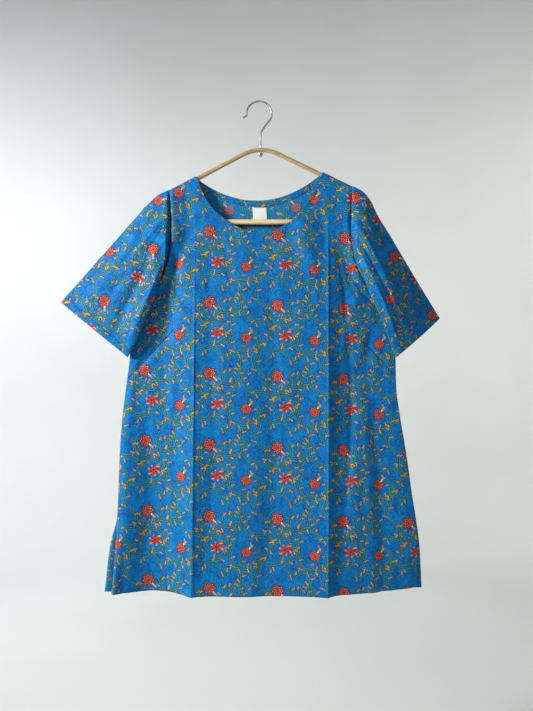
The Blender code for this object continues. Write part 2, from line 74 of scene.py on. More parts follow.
# %% Lamps
Lamp = namedtuple("Lamp", "name place aim size power colour")
LAMPS = (
    Lamp("window", (-1.75, -0.95, 0.15), (0.0, 0.0, -0.5), 0.6, 70.0, (0.98, 1.0, 0.95)),
    Lamp("room", (-0.2, -2.6, 0.2), (0.0, 0.0, -0.5), 2.0, 4.6, (0.76, 0.74, 1.0)),
    Lamp("wall_left", (-1.5, 1.4, 0.6), (-1.5, 3.4, -0.6), 1.6, 29.0, (0.94, 0.985, 1.0)),
    Lamp("wall_right", (1.8, 1.6, 0.8), (1.2, 3.4, -0.6), 1.6, 8.0, (1.0, 0.99, 0.86)),
)
for lamp in LAMPS:
    light = bpy.data.lights.new(lamp.name, "AREA")
    light.shape = "DISK"
    light.size = lamp.size
    light.energy = lamp.power
    light.color = lamp.colour
    holder = bpy.data.objects.new(lamp.name, light)
    holder.location = lamp.place
    toward = Vector(lamp.aim) - Vector(lamp.place)
    holder.rotation_euler = toward.to_track_quat("-Z", "Y").to_euler()
    holder.visible_camera = False
    scene.collection.objects.link(holder)
world = bpy.data.worlds.new("studio")
world.use_nodes = True
world.node_tree.nodes["Background"].inputs["Color"].default_value = (0.90, 0.93, 1.0, 1)
world.node_tree.nodes["Background"].inputs["Strength"].default_value = 0.11
scene.world = world
print("lamps:", len(LAMPS))

# %% [markdown]
# ## Shader maths as plain Python
#
# A printed pattern needs a lot of arithmetic on the cloth's own coordinates. A small class wraps a
# socket, so that `1 - mask` adds the Math node for us. Every other node comes from one method.

# %% The socket class
class Signal:
    """A node's output, which can be used in Python arithmetic."""

    def __init__(self, tree, socket=None):
        self.tree = tree
        self.socket = socket

    def node(self, kind, settings=None, inputs=None, output=0):
        made = self.tree.nodes.new(kind)
        for name, value in (settings or {}).items():
            if name == "stops":
                fill_ramp(made.color_ramp, value)
            else:
                setattr(made, name, value)
        for key, value in (inputs or {}).items():
            if isinstance(value, Signal):
                self.tree.links.new(value.socket, made.inputs[key])
            else:
                made.inputs[key].default_value = value
        return Signal(self.tree, made.outputs[output])

    def maths(self, operation, *others, clamp=False):
        settings = {"operation": operation, "use_clamp": clamp}
        return self.node("ShaderNodeMath", settings, dict(enumerate((self, *others))))

    def vector(self, operation, *others, output=0):
        return self.node(
            "ShaderNodeVectorMath", {"operation": operation}, dict(enumerate((self, *others))), output
        )

    def scaled(self, amount):
        return self.node("ShaderNodeVectorMath", {"operation": "SCALE"}, {0: self, "Scale": amount})

    def length(self):
        return self.vector("LENGTH", output="Value")

    def parts(self):
        split = self.node("ShaderNodeSeparateXYZ", None, {0: self}).socket.node
        return tuple(Signal(self.tree, out) for out in split.outputs)

    def under(self, limit, soft):
        """1 where the value is less than the limit, 0 where it is more, with a soft edge."""
        return self.maths("MULTIPLY_ADD", -1 / soft, limit / soft + 0.5, clamp=True)

    def over(self, limit, soft):
        return self.maths("MULTIPLY_ADD", 1 / soft, 0.5 - limit / soft, clamp=True)

    def toward(self, colour, mask):
        """This colour, covered by another where the mask is 1."""
        return self.node("ShaderNodeMix", {"data_type": "RGBA"}, {0: mask, 6: self, 7: colour}, 2)

    def __add__(self, other):
        return self.maths("ADD", other)

    def __sub__(self, other):
        return self.maths("SUBTRACT", other)

    def __rsub__(self, other):
        return self.node("ShaderNodeMath", {"operation": "SUBTRACT"}, {0: other, 1: self})

    def __mul__(self, other):
        return self.maths("MULTIPLY", other)

    __radd__ = __add__
    __rmul__ = __mul__


def fill_ramp(ramp, stops):
    while len(ramp.elements) < len(stops):
        ramp.elements.new(0.5)
    for element, (place, colour) in zip(ramp.elements, stops):
        element.position = place
        element.color = (*colour, 1)


def new_material(name, roughness=0.8, metallic=0.0):
    """An empty material with its Principled shader, and a Signal to start from."""
    made = bpy.data.materials.new(name)
    made.use_nodes = True
    shader = made.node_tree.nodes["Principled BSDF"]
    shader.inputs["Roughness"].default_value = roughness
    shader.inputs["Metallic"].default_value = metallic
    return made, shader, Signal(made.node_tree)


def plug(signal, shader, name):
    signal.tree.links.new(signal.socket, shader.inputs[name])


def biggest(first, *others):
    for other in others:
        first = first.maths("MAXIMUM", other)
    return first


# %% [markdown]
# ## The room
#
# Plaster is never one flat colour. A slow cloud of noise keeps it from looking like a screen.

# %% Plaster bowl
BOWL_RADIUS = 3.6
BOWL_FLOOR = -1.75
plaster, plaster_shader, start = new_material("plaster", 0.9)
place = start.node("ShaderNodeTexCoord", output="Object")
cloud = start.node("ShaderNodeTexNoise", None, {"Vector": place, "Scale": 1.3, "Detail": 2.0})
tone = start.node(
    "ShaderNodeValToRGB", {"stops": ((0.3, (0.80, 0.81, 0.81)), (0.7, (0.85, 0.86, 0.86)))}, {0: cloud}
)
plug(tone, plaster_shader, "Base Color")

outline = [(0.0, BOWL_FLOOR), (BOWL_RADIUS - 1.2, BOWL_FLOOR)]
for step in range(1, 13):
    angle = math.radians(7.5 * step)
    outline.append((BOWL_RADIUS - 1.2 + 1.2 * math.sin(angle), BOWL_FLOOR + 1.2 * (1 - math.cos(angle))))
outline.append((BOWL_RADIUS, 2.6))
shape = bmesh.new()
corners = [shape.verts.new((radius, 0, height)) for radius, height in outline]
edges = [shape.edges.new(pair) for pair in zip(corners, corners[1:])]
bmesh.ops.spin(
    shape, geom=corners + edges, axis=(0, 0, 1), angle=2 * math.pi, steps=96, use_merge=True
)
bmesh.ops.remove_doubles(shape, verts=shape.verts, dist=0.0001)
for face in shape.faces:
    face.smooth = True
bowl_mesh = bpy.data.meshes.new("floor_bowl")
shape.to_mesh(bowl_mesh)
shape.free()
bowl_mesh.materials.append(plaster)
bowl = bpy.data.objects.new("floor_bowl", bowl_mesh)
scene.collection.objects.link(bowl)
print("bowl faces:", len(bowl_mesh.polygons))

# %% [markdown]
# ## The print
#
# The cotton is block-printed in a repeat of about 131 by 137 mm: an azure ground, thin olive vines
# that curl, orange buds with green cups, and three kinds of flower. The repeat is drawn here with
# distances: how far a point of the cloth is from a vine, a ring or a flower's centre says what
# colour it gets. Every motif is wrapped on its own, so it is never cut at the edge of the repeat.

# %% Repeat and colours
REPEAT_X = 131.5
REPEAT_Y = 137.0
DRIFT = 0.046  # the rows of the print sink a little to one side
LILY = (-84.0, -312.0)
SMALL_ROSE = (-27.0, -322.0)
LARGE_ROSE = (-98.0, -391.0)
AZURE = (0.001, 0.142, 0.43, 1)
AZURE_LIGHT = (0.001, 0.22, 0.54, 1)
DEEP_BLUE = (0.004, 0.040, 0.17, 1)
SHADE = (0.002, 0.014, 0.07, 1)
OLIVE = (0.10, 0.27, 0.06, 1)
OLIVE_DARK = (0.022, 0.05, 0.06, 1)
LEAF = (0.26, 0.42, 0.05, 1)
TEAL = (0.035, 0.27, 0.24, 1)
BUD = (0.60, 0.20, 0.055, 1)
BUD_RED = (0.33, 0.035, 0.020, 1)
ROSE = (0.32, 0.022, 0.026, 1)
ROSE_DARK = (0.13, 0.010, 0.018, 1)
ROSE_LIGHT = (0.70, 0.30, 0.17, 1)
CREAM = (0.62, 0.64, 0.40, 1)


# %% Places in the repeat
def cloth_place(start):
    """The place on the flat cloth in millimetres, with the rows of the print level."""
    x, y, _ = start.node("ShaderNodeUVMap", {"uv_map": "Cloth"}).scaled(1000.0).parts()
    level = x.maths("MULTIPLY_ADD", DRIFT, y)
    return start.node("ShaderNodeCombineXYZ", None, {0: x, 1: level})


def around(place, centre):
    """The place as seen from the nearest repeat of a centre."""
    shift = (centre[0], centre[1] + DRIFT * centre[0], 0)
    half = (REPEAT_X / 2, REPEAT_Y / 2, 1)
    return place.vector("SUBTRACT", shift).vector("WRAP", half, tuple(-side for side in half))


def wave(value, period, phase, height):
    """A sine of the value, as high as told."""
    return value.maths("MULTIPLY_ADD", 2 * math.pi / period, phase).maths("SINE") * height


def ellipse(x, y, centre_x, half_length, half_width):
    """Less than 1 inside an ellipse that lies along x."""
    along = x.maths("MULTIPLY_ADD", 1 / half_length, -centre_x / half_length)
    across = y * (1 / half_width)
    return (along * along + across * across).maths("SQRT")


# %% [markdown]
# A vine sways about a straight line, and a ring is an open circle, as a tendril that curls round a
# flower. Both give two numbers: how far along the stem a point is, and how far to its side. The buds
# then grow in cells along the stem, now on one side and now on the other, each on a short stalk.

# %% Vines and rings
Vine = namedtuple("Vine", "offset sway phase ripple ripple_phase cells")
UPRIGHT_VINES = (
    Vine(-48.0, 12.0, 0.4, 3.5, 1.0, 8),
    Vine(6.0, 15.0, 2.6, 4.0, 0.2, 8),
)
LEVEL_VINES = (
    Vine(-350.0, 9.0, 1.2, 5.0, 2.0, 8),
    Vine(-284.0, 11.0, 4.0, 3.5, 0.6, 8),
)
Ring = namedtuple("Ring", "centre radius opens gap cells")
RINGS = (
    Ring((-86.0, -312.0), 22.0, 3.6, 1.0, 10),
    Ring((-93.0, -396.0), 20.5, 1.4, 1.1, 9),
    Ring((-21.0, -331.0), 19.0, 2.6, 1.6, 8),
    Ring((-42.0, -394.0), 13.0, 5.2, 1.5, 6),
)


def on_vine(along, across, vine, repeat_along, repeat_across):
    """How far along a vine a point is, in buds, and how far to its side."""
    sway = wave(along, repeat_along, vine.phase, vine.sway)
    sway = sway + wave(along, repeat_along / 3, vine.ripple_phase, vine.ripple)
    side = (across - sway).maths("SUBTRACT", vine.offset)
    half = repeat_across / 2
    return along * (vine.cells / repeat_along), side.maths("WRAP", half, -half) * 0.88


def on_ring(place, ring):
    """The same for an open ring. Past its ends everything is far away."""
    x, y, _ = around(place, ring.centre).parts()
    x, y = x * math.cos(ring.opens) + y * math.sin(ring.opens), y * math.cos(ring.opens) - x * math.sin(ring.opens)
    away = (x * x + y * y).maths("SQRT")
    angle = y.maths("ARCTAN2", x)
    shut = angle.maths("ABSOLUTE").under(ring.gap / 2, 0.04)
    return angle * (ring.cells / (2 * math.pi)), (away - ring.radius) + shut * 40.0


def buds_on(along, side, cell):
    """The stalks, buds and cups that grow along a stem. cell is the length of stem for each bud."""
    facing = (along * math.pi).maths("SINE").maths("SIGN")
    x = (along - 0.5).maths("WRAP", 0.5, -0.5).maths("MULTIPLY_ADD", cell, 4.0)
    out = side * facing
    turn = math.radians(38)
    reach = x * math.cos(turn) + out * math.sin(turn)
    off = out * math.cos(turn) - x * math.sin(turn)
    off = (reach * reach).maths("MULTIPLY_ADD", -0.035, off) + 0.3
    bud = ellipse(reach, off, 8.8, 2.7, 1.5)
    cup = ellipse(reach, off, 5.3, 1.5, 1.2)
    stalk = off.maths("ABSOLUTE") + (reach - 2.6).maths("ABSOLUTE").over(2.6, 0.5) * 20.0
    return stalk, bud, cup


def nearest(values):
    first = values[0]
    for other in values[1:]:
        first = first.maths("MINIMUM", other)
    return first


def growth(place):
    """How near the stems, the buds and the cups of all vines and rings are."""
    x, y, _ = place.parts()
    stems = []
    for vine in UPRIGHT_VINES:
        stems.append((*on_vine(y, x, vine, REPEAT_Y, REPEAT_X), REPEAT_Y / vine.cells))
    for vine in LEVEL_VINES:
        stems.append((*on_vine(x, y, vine, REPEAT_X, REPEAT_Y), REPEAT_X / vine.cells))
    for ring in RINGS:
        stems.append((*on_ring(place, ring), 2 * math.pi * ring.radius / ring.cells))
    grown = [buds_on(*stem) for stem in stems]
    lines = [side.maths("ABSOLUTE") for _, side, _ in stems] + [stalk + 0.3 for stalk, _, _ in grown]
    return nearest(lines), nearest([bud for _, bud, _ in grown]), nearest([cup for _, _, cup in grown])


# %% [markdown]
# Loose buds fill what the vines leave empty. A grid of cells is laid over the repeat, and white noise
# turns each cell's bud and moves it a little. The noise reads the cell's number within the repeat,
# so every repeat has the same buds.

# %% Loose buds
BUD_COLUMNS = 3
BUD_ROWS = 4


def loose_buds(place):
    cell = (REPEAT_X / BUD_COLUMNS, REPEAT_Y / BUD_ROWS, 1)
    share = place.vector("DIVIDE", cell)
    number = share.vector("FLOOR").vector("WRAP", (BUD_COLUMNS, BUD_ROWS, 1), (0, 0, 0))
    chance = number.node(
        "ShaderNodeTexWhiteNoise", {"noise_dimensions": "2D"}, {"Vector": number}, "Color"
    )
    nudge = chance.vector("MULTIPLY_ADD", (9.0, 9.0, 0), (-4.5, -4.5, 0))
    middle = share.vector("FRACTION").vector("SUBTRACT", (0.5, 0.5, 0)).vector("MULTIPLY", cell)
    turned = middle.node(
        "ShaderNodeVectorRotate",
        {"rotation_type": "Z_AXIS"},
        {"Vector": middle.vector("SUBTRACT", nudge), "Angle": chance.parts()[2] * (2 * math.pi)},
    )
    x, y, _ = turned.parts()
    off = y - (x * x) * 0.022
    stalk = off.maths("ABSOLUTE") + (x + 2.5).maths("ABSOLUTE").over(5.0, 0.6) * 20.0
    return stalk, ellipse(x, off, 6.4, 2.7, 1.5), ellipse(x, off, 3.0, 1.6, 1.3)


# %% [markdown]
# Two of the flowers are round, with a scalloped edge, rings of pale beads and a small green cup at
# one side. The third is a lily with six long petals: red along their sides, orange inside, and dark
# at the heart.

# %% Flowers
def polar(seen):
    x, y, _ = seen.parts()
    return seen.length(), y.maths("ARCTAN2", x)


def add_rose(colour, place, centre, radius, cup_turn):
    """A round flower with beads, and a small cup and bud beside it."""
    seen = around(place, centre)
    distance, angle = polar(seen)
    scallop = distance - wave(angle, 2 * math.pi / 10, 0.0, 0.075 * radius)
    body = scallop.under(radius, 0.9)
    beads = wave(distance, radius * 0.40, 0.6, 1.0) * wave(angle, 2 * math.pi / 8, 1.0, 1.0)
    turned = seen.node(
        "ShaderNodeVectorRotate",
        {"rotation_type": "Z_AXIS"},
        {"Vector": seen, "Angle": -cup_turn},
    )
    x, y, _ = turned.parts()
    colour = colour.toward(DEEP_BLUE, scallop.under(radius + 1.6, 1.0) * 0.85)
    colour = colour.toward(ROSE, body)
    colour = colour.toward(ROSE_LIGHT, body * beads.over(0.34, 0.3) * 0.75)
    colour = colour.toward(ROSE_DARK, body * beads.under(-0.30, 0.5) * 0.75)
    colour = colour.toward(ROSE_DARK, body * scallop.over(radius * 0.90, 0.8) * 0.5)
    colour = colour.toward(ROSE, distance.under(radius * 0.22, 0.8))
    colour = colour.toward(BUD, ellipse(x, y, radius + 5.4, 3.4, 2.1).under(1.0, 0.25))
    colour = colour.toward(LEAF, ellipse(x, y, radius + 2.3, 2.1, 1.9).under(1.0, 0.3))
    return colour.toward(CREAM, ellipse(x, y, radius - 0.4, 1.7, 1.4).under(1.0, 0.3))


def add_lily(colour, place, centre, radius):
    """A lily with six pointed petals of uneven length."""
    seen = around(place, centre)
    distance, angle = polar(seen)
    twisted = distance.maths("MULTIPLY_ADD", 0.042, angle)
    petal = wave(twisted, 2 * math.pi / 6, 0.6, 0.5) + 0.5
    uneven = wave(angle, math.pi, 0.9, 0.13) + wave(angle, 2 * math.pi, 2.0, 0.10)
    edge = (petal.maths("POWER", 0.55) * 0.60 + uneven + 0.40) * radius - distance
    inside = edge.over(0.0, 0.9)
    middle = (petal * (1.0 + 0.25 * wave(distance, radius * 0.8, 1.0, 1.0))).over(0.80, 0.26)
    colour = colour.toward(DEEP_BLUE, edge.over(-1.6, 0.9) * 0.85)
    colour = colour.toward(ROSE, inside)
    colour = colour.toward(BUD, inside * middle)
    colour = colour.toward(ROSE_LIGHT, inside * middle * petal.over(0.93, 0.1) * 0.6)
    return colour.toward(ROSE_DARK, distance.under(radius * 0.24, 2.0) * 0.8)


# %% [markdown]
# The colours go on one after the other, as the blocks do: the ground with its fine squiggles, the
# dark line beside each stem, the stem, the cups, the buds and last the flowers. The threads of the
# weave show through all of them, so a fine noise, stretched along the warp and the weft, varies the
# finished colour and the bump.

# %% The printed colour
# The darts that shape the bust end in a fine seam line. The dark line drawn there is partly the seam itself and
# partly painted shade in its groove, stronger on the left dart than on the right.
DARTS = (
    (((-262.0, -538.0), (-172.0, -443.0)), 0.92),
    (((270.0, -535.0), (198.0, -460.0)), 0.55),
)


def cloud(place, scale, detail, distortion=0.0):
    return place.node(
        "ShaderNodeTexNoise",
        {"noise_dimensions": "2D"},
        {"Vector": place, "Scale": scale, "Detail": detail, "Roughness": 0.5, "Distortion": distortion},
    )


def line_distance(x, y, start, end):
    """How far a point is from a straight line between two places."""
    length = math.hypot(end[0] - start[0], end[1] - start[1])
    way = ((end[0] - start[0]) / length, (end[1] - start[1]) / length)
    along = (x - start[0]) * way[0] + (y - start[1]) * way[1]
    off = (x - start[0]) * way[1] - (y - start[1]) * way[0]
    past = (along - length / 2).maths("ABSOLUTE") - length / 2
    return off.maths("ABSOLUTE").maths("MAXIMUM", past)


def printed_colour(start):
    place = cloth_place(start)
    flowers = (LILY, SMALL_ROSE, LARGE_ROSE)
    clear = biggest(*(around(place, centre).length().under(14.5, 1.5) for centre in flowers))
    free = 1 - clear
    squiggle = (cloud(place, 0.21, 1.0, 1.8) - 0.5).maths("ABSOLUTE").under(0.060, 0.04)
    patch = cloud(place, 0.035, 1.0)
    ground = start.node("ShaderNodeRGB")
    ground.socket.node.outputs[0].default_value = AZURE
    ground = ground.toward(AZURE_LIGHT, cloud(place, 0.021, 1.0).over(0.5, 0.3) * 0.3)
    fleck = (cloud(place, 0.25, 1.0, 1.2) - 0.42).maths("ABSOLUTE").under(0.045, 0.03)
    ground = ground.toward(AZURE_LIGHT, fleck * 0.8)
    ground = ground.toward(DEEP_BLUE, squiggle * patch.over(0.38, 0.14) * 0.8)
    stems, buds, cups = growth(place)
    stalk, loose, cup = loose_buds(place)
    thin = stems.maths("MINIMUM", stalk + 0.3)
    bud = buds.maths("MINIMUM", loose)
    cup = cups.maths("MINIMUM", cup)
    brown = cloud(place, 0.05, 1.0).over(0.55, 0.1)
    colour = ground.toward(DEEP_BLUE, thin.under(2.0, 1.0) * free * 0.55)
    echo = (thin - 3.5).maths("ABSOLUTE").under(0.7, 0.7)
    colour = colour.toward(TEAL, echo * free * patch.over(0.42, 0.14) * 0.6)
    colour = colour.toward(DEEP_BLUE, bud.under(1.62, 0.4) * free * 0.9)
    colour = colour.toward(OLIVE_DARK, thin.under(1.15, 0.5) * free * 0.85)
    colour = colour.toward(OLIVE, thin.under(0.48, 0.5) * free)
    colour = colour.toward(BUD_RED, thin.under(0.50, 0.5) * free * brown * 0.20)
    colour = colour.toward(BUD_RED, bud.under(1.02, 0.2) * free)
    colour = colour.toward(BUD, bud.under(0.84, 0.3) * free)
    colour = colour.toward(LEAF, cup.under(1.0, 0.3) * free)
    colour = add_lily(colour, place, LILY, 12.8)
    colour = add_rose(colour, place, SMALL_ROSE, 9.8, 0.9)
    colour = add_rose(colour, place, LARGE_ROSE, 11.2, -0.75)
    x, y, _ = start.node("ShaderNodeUVMap", {"uv_map": "Cloth"}).scaled(1000.0).parts()
    # Each dart line is painted shade along its seam, as dark as the strength given in its row.
    for dart, depth in DARTS:
        colour = colour.toward(SHADE, line_distance(x, y, *dart).under(1.15, 0.7) * depth)
    return colour, place


# %% The weave
def add_weave(place, shader, strength):
    """Threads in both directions. Returns how light or dark the threads make the colour."""
    warp = cloud(place.vector("MULTIPLY", (2.6, 0.16, 0)), 1.0, 1.0)
    weft = cloud(place.vector("MULTIPLY", (0.16, 2.6, 0)), 1.0, 1.0)
    crush = cloud(place.vector("MULTIPLY", (0.045, 0.022, 0)), 1.0, 3.0)
    x, y, _ = place.parts()
    over = wave(x, 0.75, 0.0, 0.5) * wave(y, 0.75, 0.0, 0.5)
    height = (warp + weft) * 0.10 + over * 0.05 + crush * 3.6
    bump = place.node(
        "ShaderNodeBump", None, {"Strength": strength, "Distance": 0.001, "Height": height}
    )
    plug(bump, shader, "Normal")
    grain = cloud(place, 0.42, 2.0).maths("MULTIPLY_ADD", 1.5, -0.75)
    light = (warp + weft).maths("MULTIPLY_ADD", 0.34, 0.66) + grain
    return place.node("ShaderNodeCombineXYZ", None, {0: light, 1: light, 2: light})


# %% Cotton, its right side and its wrong side
cotton, shader, start = new_material("printed_cotton", 0.62)
colour, place = printed_colour(start)
plug(colour.vector("MULTIPLY", add_weave(place, shader, 0.6)), shader, "Base Color")
shader.inputs["Specular IOR Level"].default_value = 0.12
print("nodes in the print:", len(cotton.node_tree.nodes))

wrong_side, shader, start = new_material("cotton_wrong_side", 0.85)
colour, place = printed_colour(start)
pale = colour.toward((0.020, 0.25, 0.42, 1), 0.24)
plug(pale.vector("MULTIPLY", add_weave(place, shader, 0.5)), shader, "Base Color")
shader.inputs["Specular IOR Level"].default_value = 0.2

# %% [markdown]
# The sewing thread is a shade darker than the ground. The label is plain white tape with a fine rib.
# The rod is varnished cane, the bar raw pale wood, and the hook and the nut are zinc.

# %% Thread, tape, wood and zinc
thread, shader, start = new_material("thread", 0.7)
place = start.node("ShaderNodeTexCoord", output="Object").scaled(1000.0)
fibre = cloud(place, 3.0, 2.0)
tone = start.node(
    "ShaderNodeValToRGB", {"stops": ((0.3, (0.008, 0.07, 0.20)), (0.7, (0.02, 0.14, 0.34)))}, {0: fibre}
)
plug(tone, shader, "Base Color")

tape, shader, start = new_material("label_tape", 0.75)
place = start.node("ShaderNodeTexCoord", output="Object").scaled(1000.0)
x, _, z = place.parts()
rib = wave(z, 0.6, 0.0, 0.5) + wave(x, 1.1, 0.0, 0.25)
tone = start.node(
    "ShaderNodeValToRGB", {"stops": ((0.0, (0.66, 0.67, 0.64)), (1.0, (0.76, 0.77, 0.75)))}, {0: rib + 0.5}
)
plug(tone, shader, "Base Color")
plug(start.node("ShaderNodeBump", None, {"Strength": 0.3, "Distance": 0.0001, "Height": rib}), shader, "Normal")


def wooden(name, stops, roughness, coat):
    """Wood whose grain runs along X, with a few darker streaks."""
    made, shader, start = new_material(name, roughness)
    place = start.node("ShaderNodeTexCoord", output="Object").scaled(1000.0)
    along = place.vector("MULTIPLY", (0.020, 0.9, 0.55))
    grain = place.node(
        "ShaderNodeTexNoise",
        None,
        {"Vector": along, "Scale": 1.0, "Detail": 3.0, "Roughness": 0.6, "Distortion": 0.5},
    )
    pores = place.node(
        "ShaderNodeTexNoise",
        None,
        {"Vector": place.vector("MULTIPLY", (0.12, 3.0, 2.4)), "Scale": 1.0, "Detail": 2.0},
    )
    tone = start.node("ShaderNodeValToRGB", {"stops": stops}, {0: grain * 0.75 + pores * 0.25})
    plug(tone, shader, "Base Color")
    bump = place.node("ShaderNodeBump", None, {"Strength": 0.25, "Distance": 0.0003, "Height": pores})
    plug(bump, shader, "Normal")
    shader.inputs["Coat Weight"].default_value = coat
    shader.inputs["Coat Roughness"].default_value = 0.2
    return made


CANE_STOPS = ((0.30, (0.21, 0.125, 0.04)), (0.50, (0.40, 0.27, 0.11)), (0.72, (0.52, 0.38, 0.17)))
BAR_STOPS = ((0.30, (0.56, 0.36, 0.17)), (0.50, (0.75, 0.54, 0.29)), (0.72, (0.84, 0.66, 0.40)))
cane = wooden("varnished_wood", CANE_STOPS, 0.38, 0.5)
bar_wood = wooden("bar_wood", BAR_STOPS, 0.6, 0.1)

zinc, shader, start = new_material("zinc_wire", 0.34, 1.0)
place = start.node("ShaderNodeTexCoord", output="Object").scaled(1000.0)
tone = start.node(
    "ShaderNodeValToRGB",
    {"stops": ((0.35, (0.30, 0.33, 0.33)), (0.65, (0.46, 0.50, 0.49)))},
    {0: place.node("ShaderNodeTexNoise", None, {"Vector": place, "Scale": 0.25, "Detail": 3.0})},
)
plug(tone, shader, "Base Color")

# %% [markdown]
# ## The cut of the cloth
#
# The same named sizes and tables as the solids use, so each shell lies on its solid. Heights are a
# drop below the hook's crown. across is 0 at the left edge, 1 and 2 at the two press creases, and 3
# at the right edge.

# %% Named sizes
COTTON = 0.5 * MM
SHANK_X = 2.5 * MM
OVER_ROD = 5.5 * MM
LEFT_ARM_SLOPE = 0.527
RIGHT_ARM_SLOPE = 0.485
ARM_X = 0.120
LEFT_ARM_DROP = 0.1477
RIGHT_ARM_DROP = 0.1422
LEFT_NECK_X = -0.127
RIGHT_NECK_X = 0.121
LEFT_SHOULDER_X = -0.177
RIGHT_SHOULDER_X = 0.178
UNDERARM_DROP = 0.405
ARMHOLE_BOW = 0.005
ARMHOLE_POWER = 4
FRONT_HEM_DROP = 0.9545
BACK_HEM_DROP = 0.9580
LEFT_HEM_RISE = 0.002
RIGHT_HEM_RISE = 0.0045

# %% Neckline, edges and creases
Neck = namedtuple("Neck", "share front back")
NECKLINE = (
    Neck(0.00, 0.0, 0.0),
    Neck(0.02, 6.5, 3.0),
    Neck(0.055, 30.0, 10.0),
    Neck(0.11, 54.5, 19.0),
    Neck(0.17, 72.5, 27.5),
    Neck(0.28, 94.0, 39.0),
    Neck(0.40, 108.5, 46.5),
    Neck(0.52, 111.7, 48.5),
    Neck(0.64, 107.5, 45.0),
    Neck(0.745, 95.5, 37.0),
    Neck(0.82, 78.0, 29.0),
    Neck(0.89, 54.0, 19.0),
    Neck(0.96, 24.0, 7.5),
    Neck(1.00, 0.0, 0.0),
)
Edge = namedtuple("Edge", "drop left_front left_back right_front right_back")
EDGES = (
    Edge(0.405, -0.2500, -0.2500, 0.2580, 0.2580),
    Edge(0.495, -0.2545, -0.2545, 0.2630, 0.2630),
    Edge(0.555, -0.2620, -0.2620, 0.2645, 0.2645),
    Edge(0.612, -0.2690, -0.2690, 0.2720, 0.2720),
    Edge(0.662, -0.2730, -0.2730, 0.2805, 0.2805),
    Edge(0.713, -0.2755, -0.2755, 0.2885, 0.2885),
    Edge(0.763, -0.2770, -0.2770, 0.2955, 0.2955),
    Edge(0.805, -0.2790, -0.2795, 0.3025, 0.3028),
    Edge(0.864, -0.2820, -0.2940, 0.3095, 0.3120),
    Edge(0.955, -0.2870, -0.3050, 0.3125, 0.3195),
)
Crease = namedtuple("Crease", "drop left right")
CREASES = (
    Crease(0.140, -0.1270, 0.1210),
    Crease(0.260, -0.1260, 0.1310),
    Crease(0.600, -0.1280, 0.1320),
    Crease(0.955, -0.1310, 0.1285),
)

# %% Folds
LEVEL_DROPS = (0.19, 0.25, 0.40, 0.60, 0.80, 0.955)
Fold = namedtuple("Fold", "name across sharp yoke bar chest waist hip hem")
FRONT_FOLDS = (
    Fold("left_edge", 0.00, False, -7.0, -7.0, -0.6, -0.6, -1.4, -15.0),
    Fold("left_side", 0.14, False, -8.0, -8.0, -5.0, -8.0, -9.0, -9.0),
    Fold("left_hollow", 0.50, False, -8.5, -8.5, -10.0, -9.0, -5.0, -0.5),
    Fold("left_crease", 1.00, True, -8.5, -9.5, -15.0, -22.0, -27.0, -30.0),
    Fold("left_face", 1.16, False, -8.5, -9.0, -13.5, -17.5, -20.0, -22.0),
    Fold("left_swell", 1.42, False, -9.0, -9.5, -15.0, -20.0, -23.5, -25.5),
    Fold("centre_hollow", 1.58, False, -9.0, -9.0, -13.0, -16.0, -18.0, -20.0),
    Fold("right_crease", 2.00, True, -8.5, -9.5, -15.0, -22.0, -27.0, -30.0),
    Fold("right_turn", 2.20, False, -8.5, -8.5, -12.0, -13.0, -13.5, -15.0),
    Fold("right_shelf", 2.46, False, -8.0, -8.5, -11.0, -12.0, -11.0, -9.0),
    Fold("right_hollow", 2.64, False, -8.0, -8.0, -9.0, -5.5, -2.0, 1.0),
    Fold("right_side", 2.84, False, -8.0, -8.0, -6.0, -6.0, -3.0, 6.0),
    Fold("right_edge", 3.00, False, -7.0, -7.0, -0.6, -0.6, 2.0, 14.0),
)
BACK_FOLDS = (
    Fold("left_edge", 0.00, False, 7.0, 7.0, 0.6, 0.6, 2.4, 4.0),
    Fold("left_side", 0.20, False, 8.0, 8.0, 8.0, 9.0, 12.0, 13.0),
    Fold("left_swell", 0.55, False, 9.0, 9.0, 11.0, 13.0, 17.0, 20.0),
    Fold("left_crease", 1.00, True, 9.0, 9.5, 12.0, 17.0, 22.0, 25.0),
    Fold("left_face", 1.20, False, 9.0, 9.0, 10.5, 13.0, 16.0, 18.0),
    Fold("centre_swell", 1.50, False, 9.0, 9.0, 11.0, 14.0, 18.0, 21.0),
    Fold("right_face", 1.80, False, 9.0, 9.0, 10.5, 13.0, 16.0, 18.0),
    Fold("right_crease", 2.00, True, 9.0, 9.5, 12.0, 17.0, 22.0, 26.0),
    Fold("right_swell", 2.45, False, 9.0, 9.0, 11.0, 14.0, 18.0, 24.0),
    Fold("right_side", 2.80, False, 8.0, 8.0, 8.0, 10.0, 15.0, 25.0),
    Fold("right_edge", 3.00, False, 7.0, 7.0, 0.6, 0.6, 3.8, 20.0),
)


# %% Curves through a table
def column(table, name):
    return [getattr(row, name) for row in table]


def mix(a, b, share):
    return a + (b - a) * share


def smooth_at(stations, values, places):
    """Values at many places on a smooth curve that doesn't swing past its table."""
    x = np.asarray(stations, float)
    y = np.asarray(values, float)
    at = np.clip(np.asarray(places, float), x[0], x[-1])
    low = np.clip(np.searchsorted(x, at, side="right") - 1, 0, len(x) - 2)
    step = np.diff(x)
    steep = np.diff(y) / step
    before = np.concatenate((steep[:1], steep))
    after = np.concatenate((steep, steep[-1:]))
    both = before * after
    total = np.where(np.abs(before + after) < 1e-12, 1.0, before + after)
    slope = np.where(both > 0, 2 * both / total, 0.0)
    share = (at - x[low]) / step[low]
    square, cube = share**2, share**3
    return (
        y[low] * (2 * cube - 3 * square + 1)
        + y[low + 1] * (3 * square - 2 * cube)
        + slope[low] * step[low] * (cube - 2 * square + share)
        + slope[low + 1] * step[low] * (cube - square)
    )


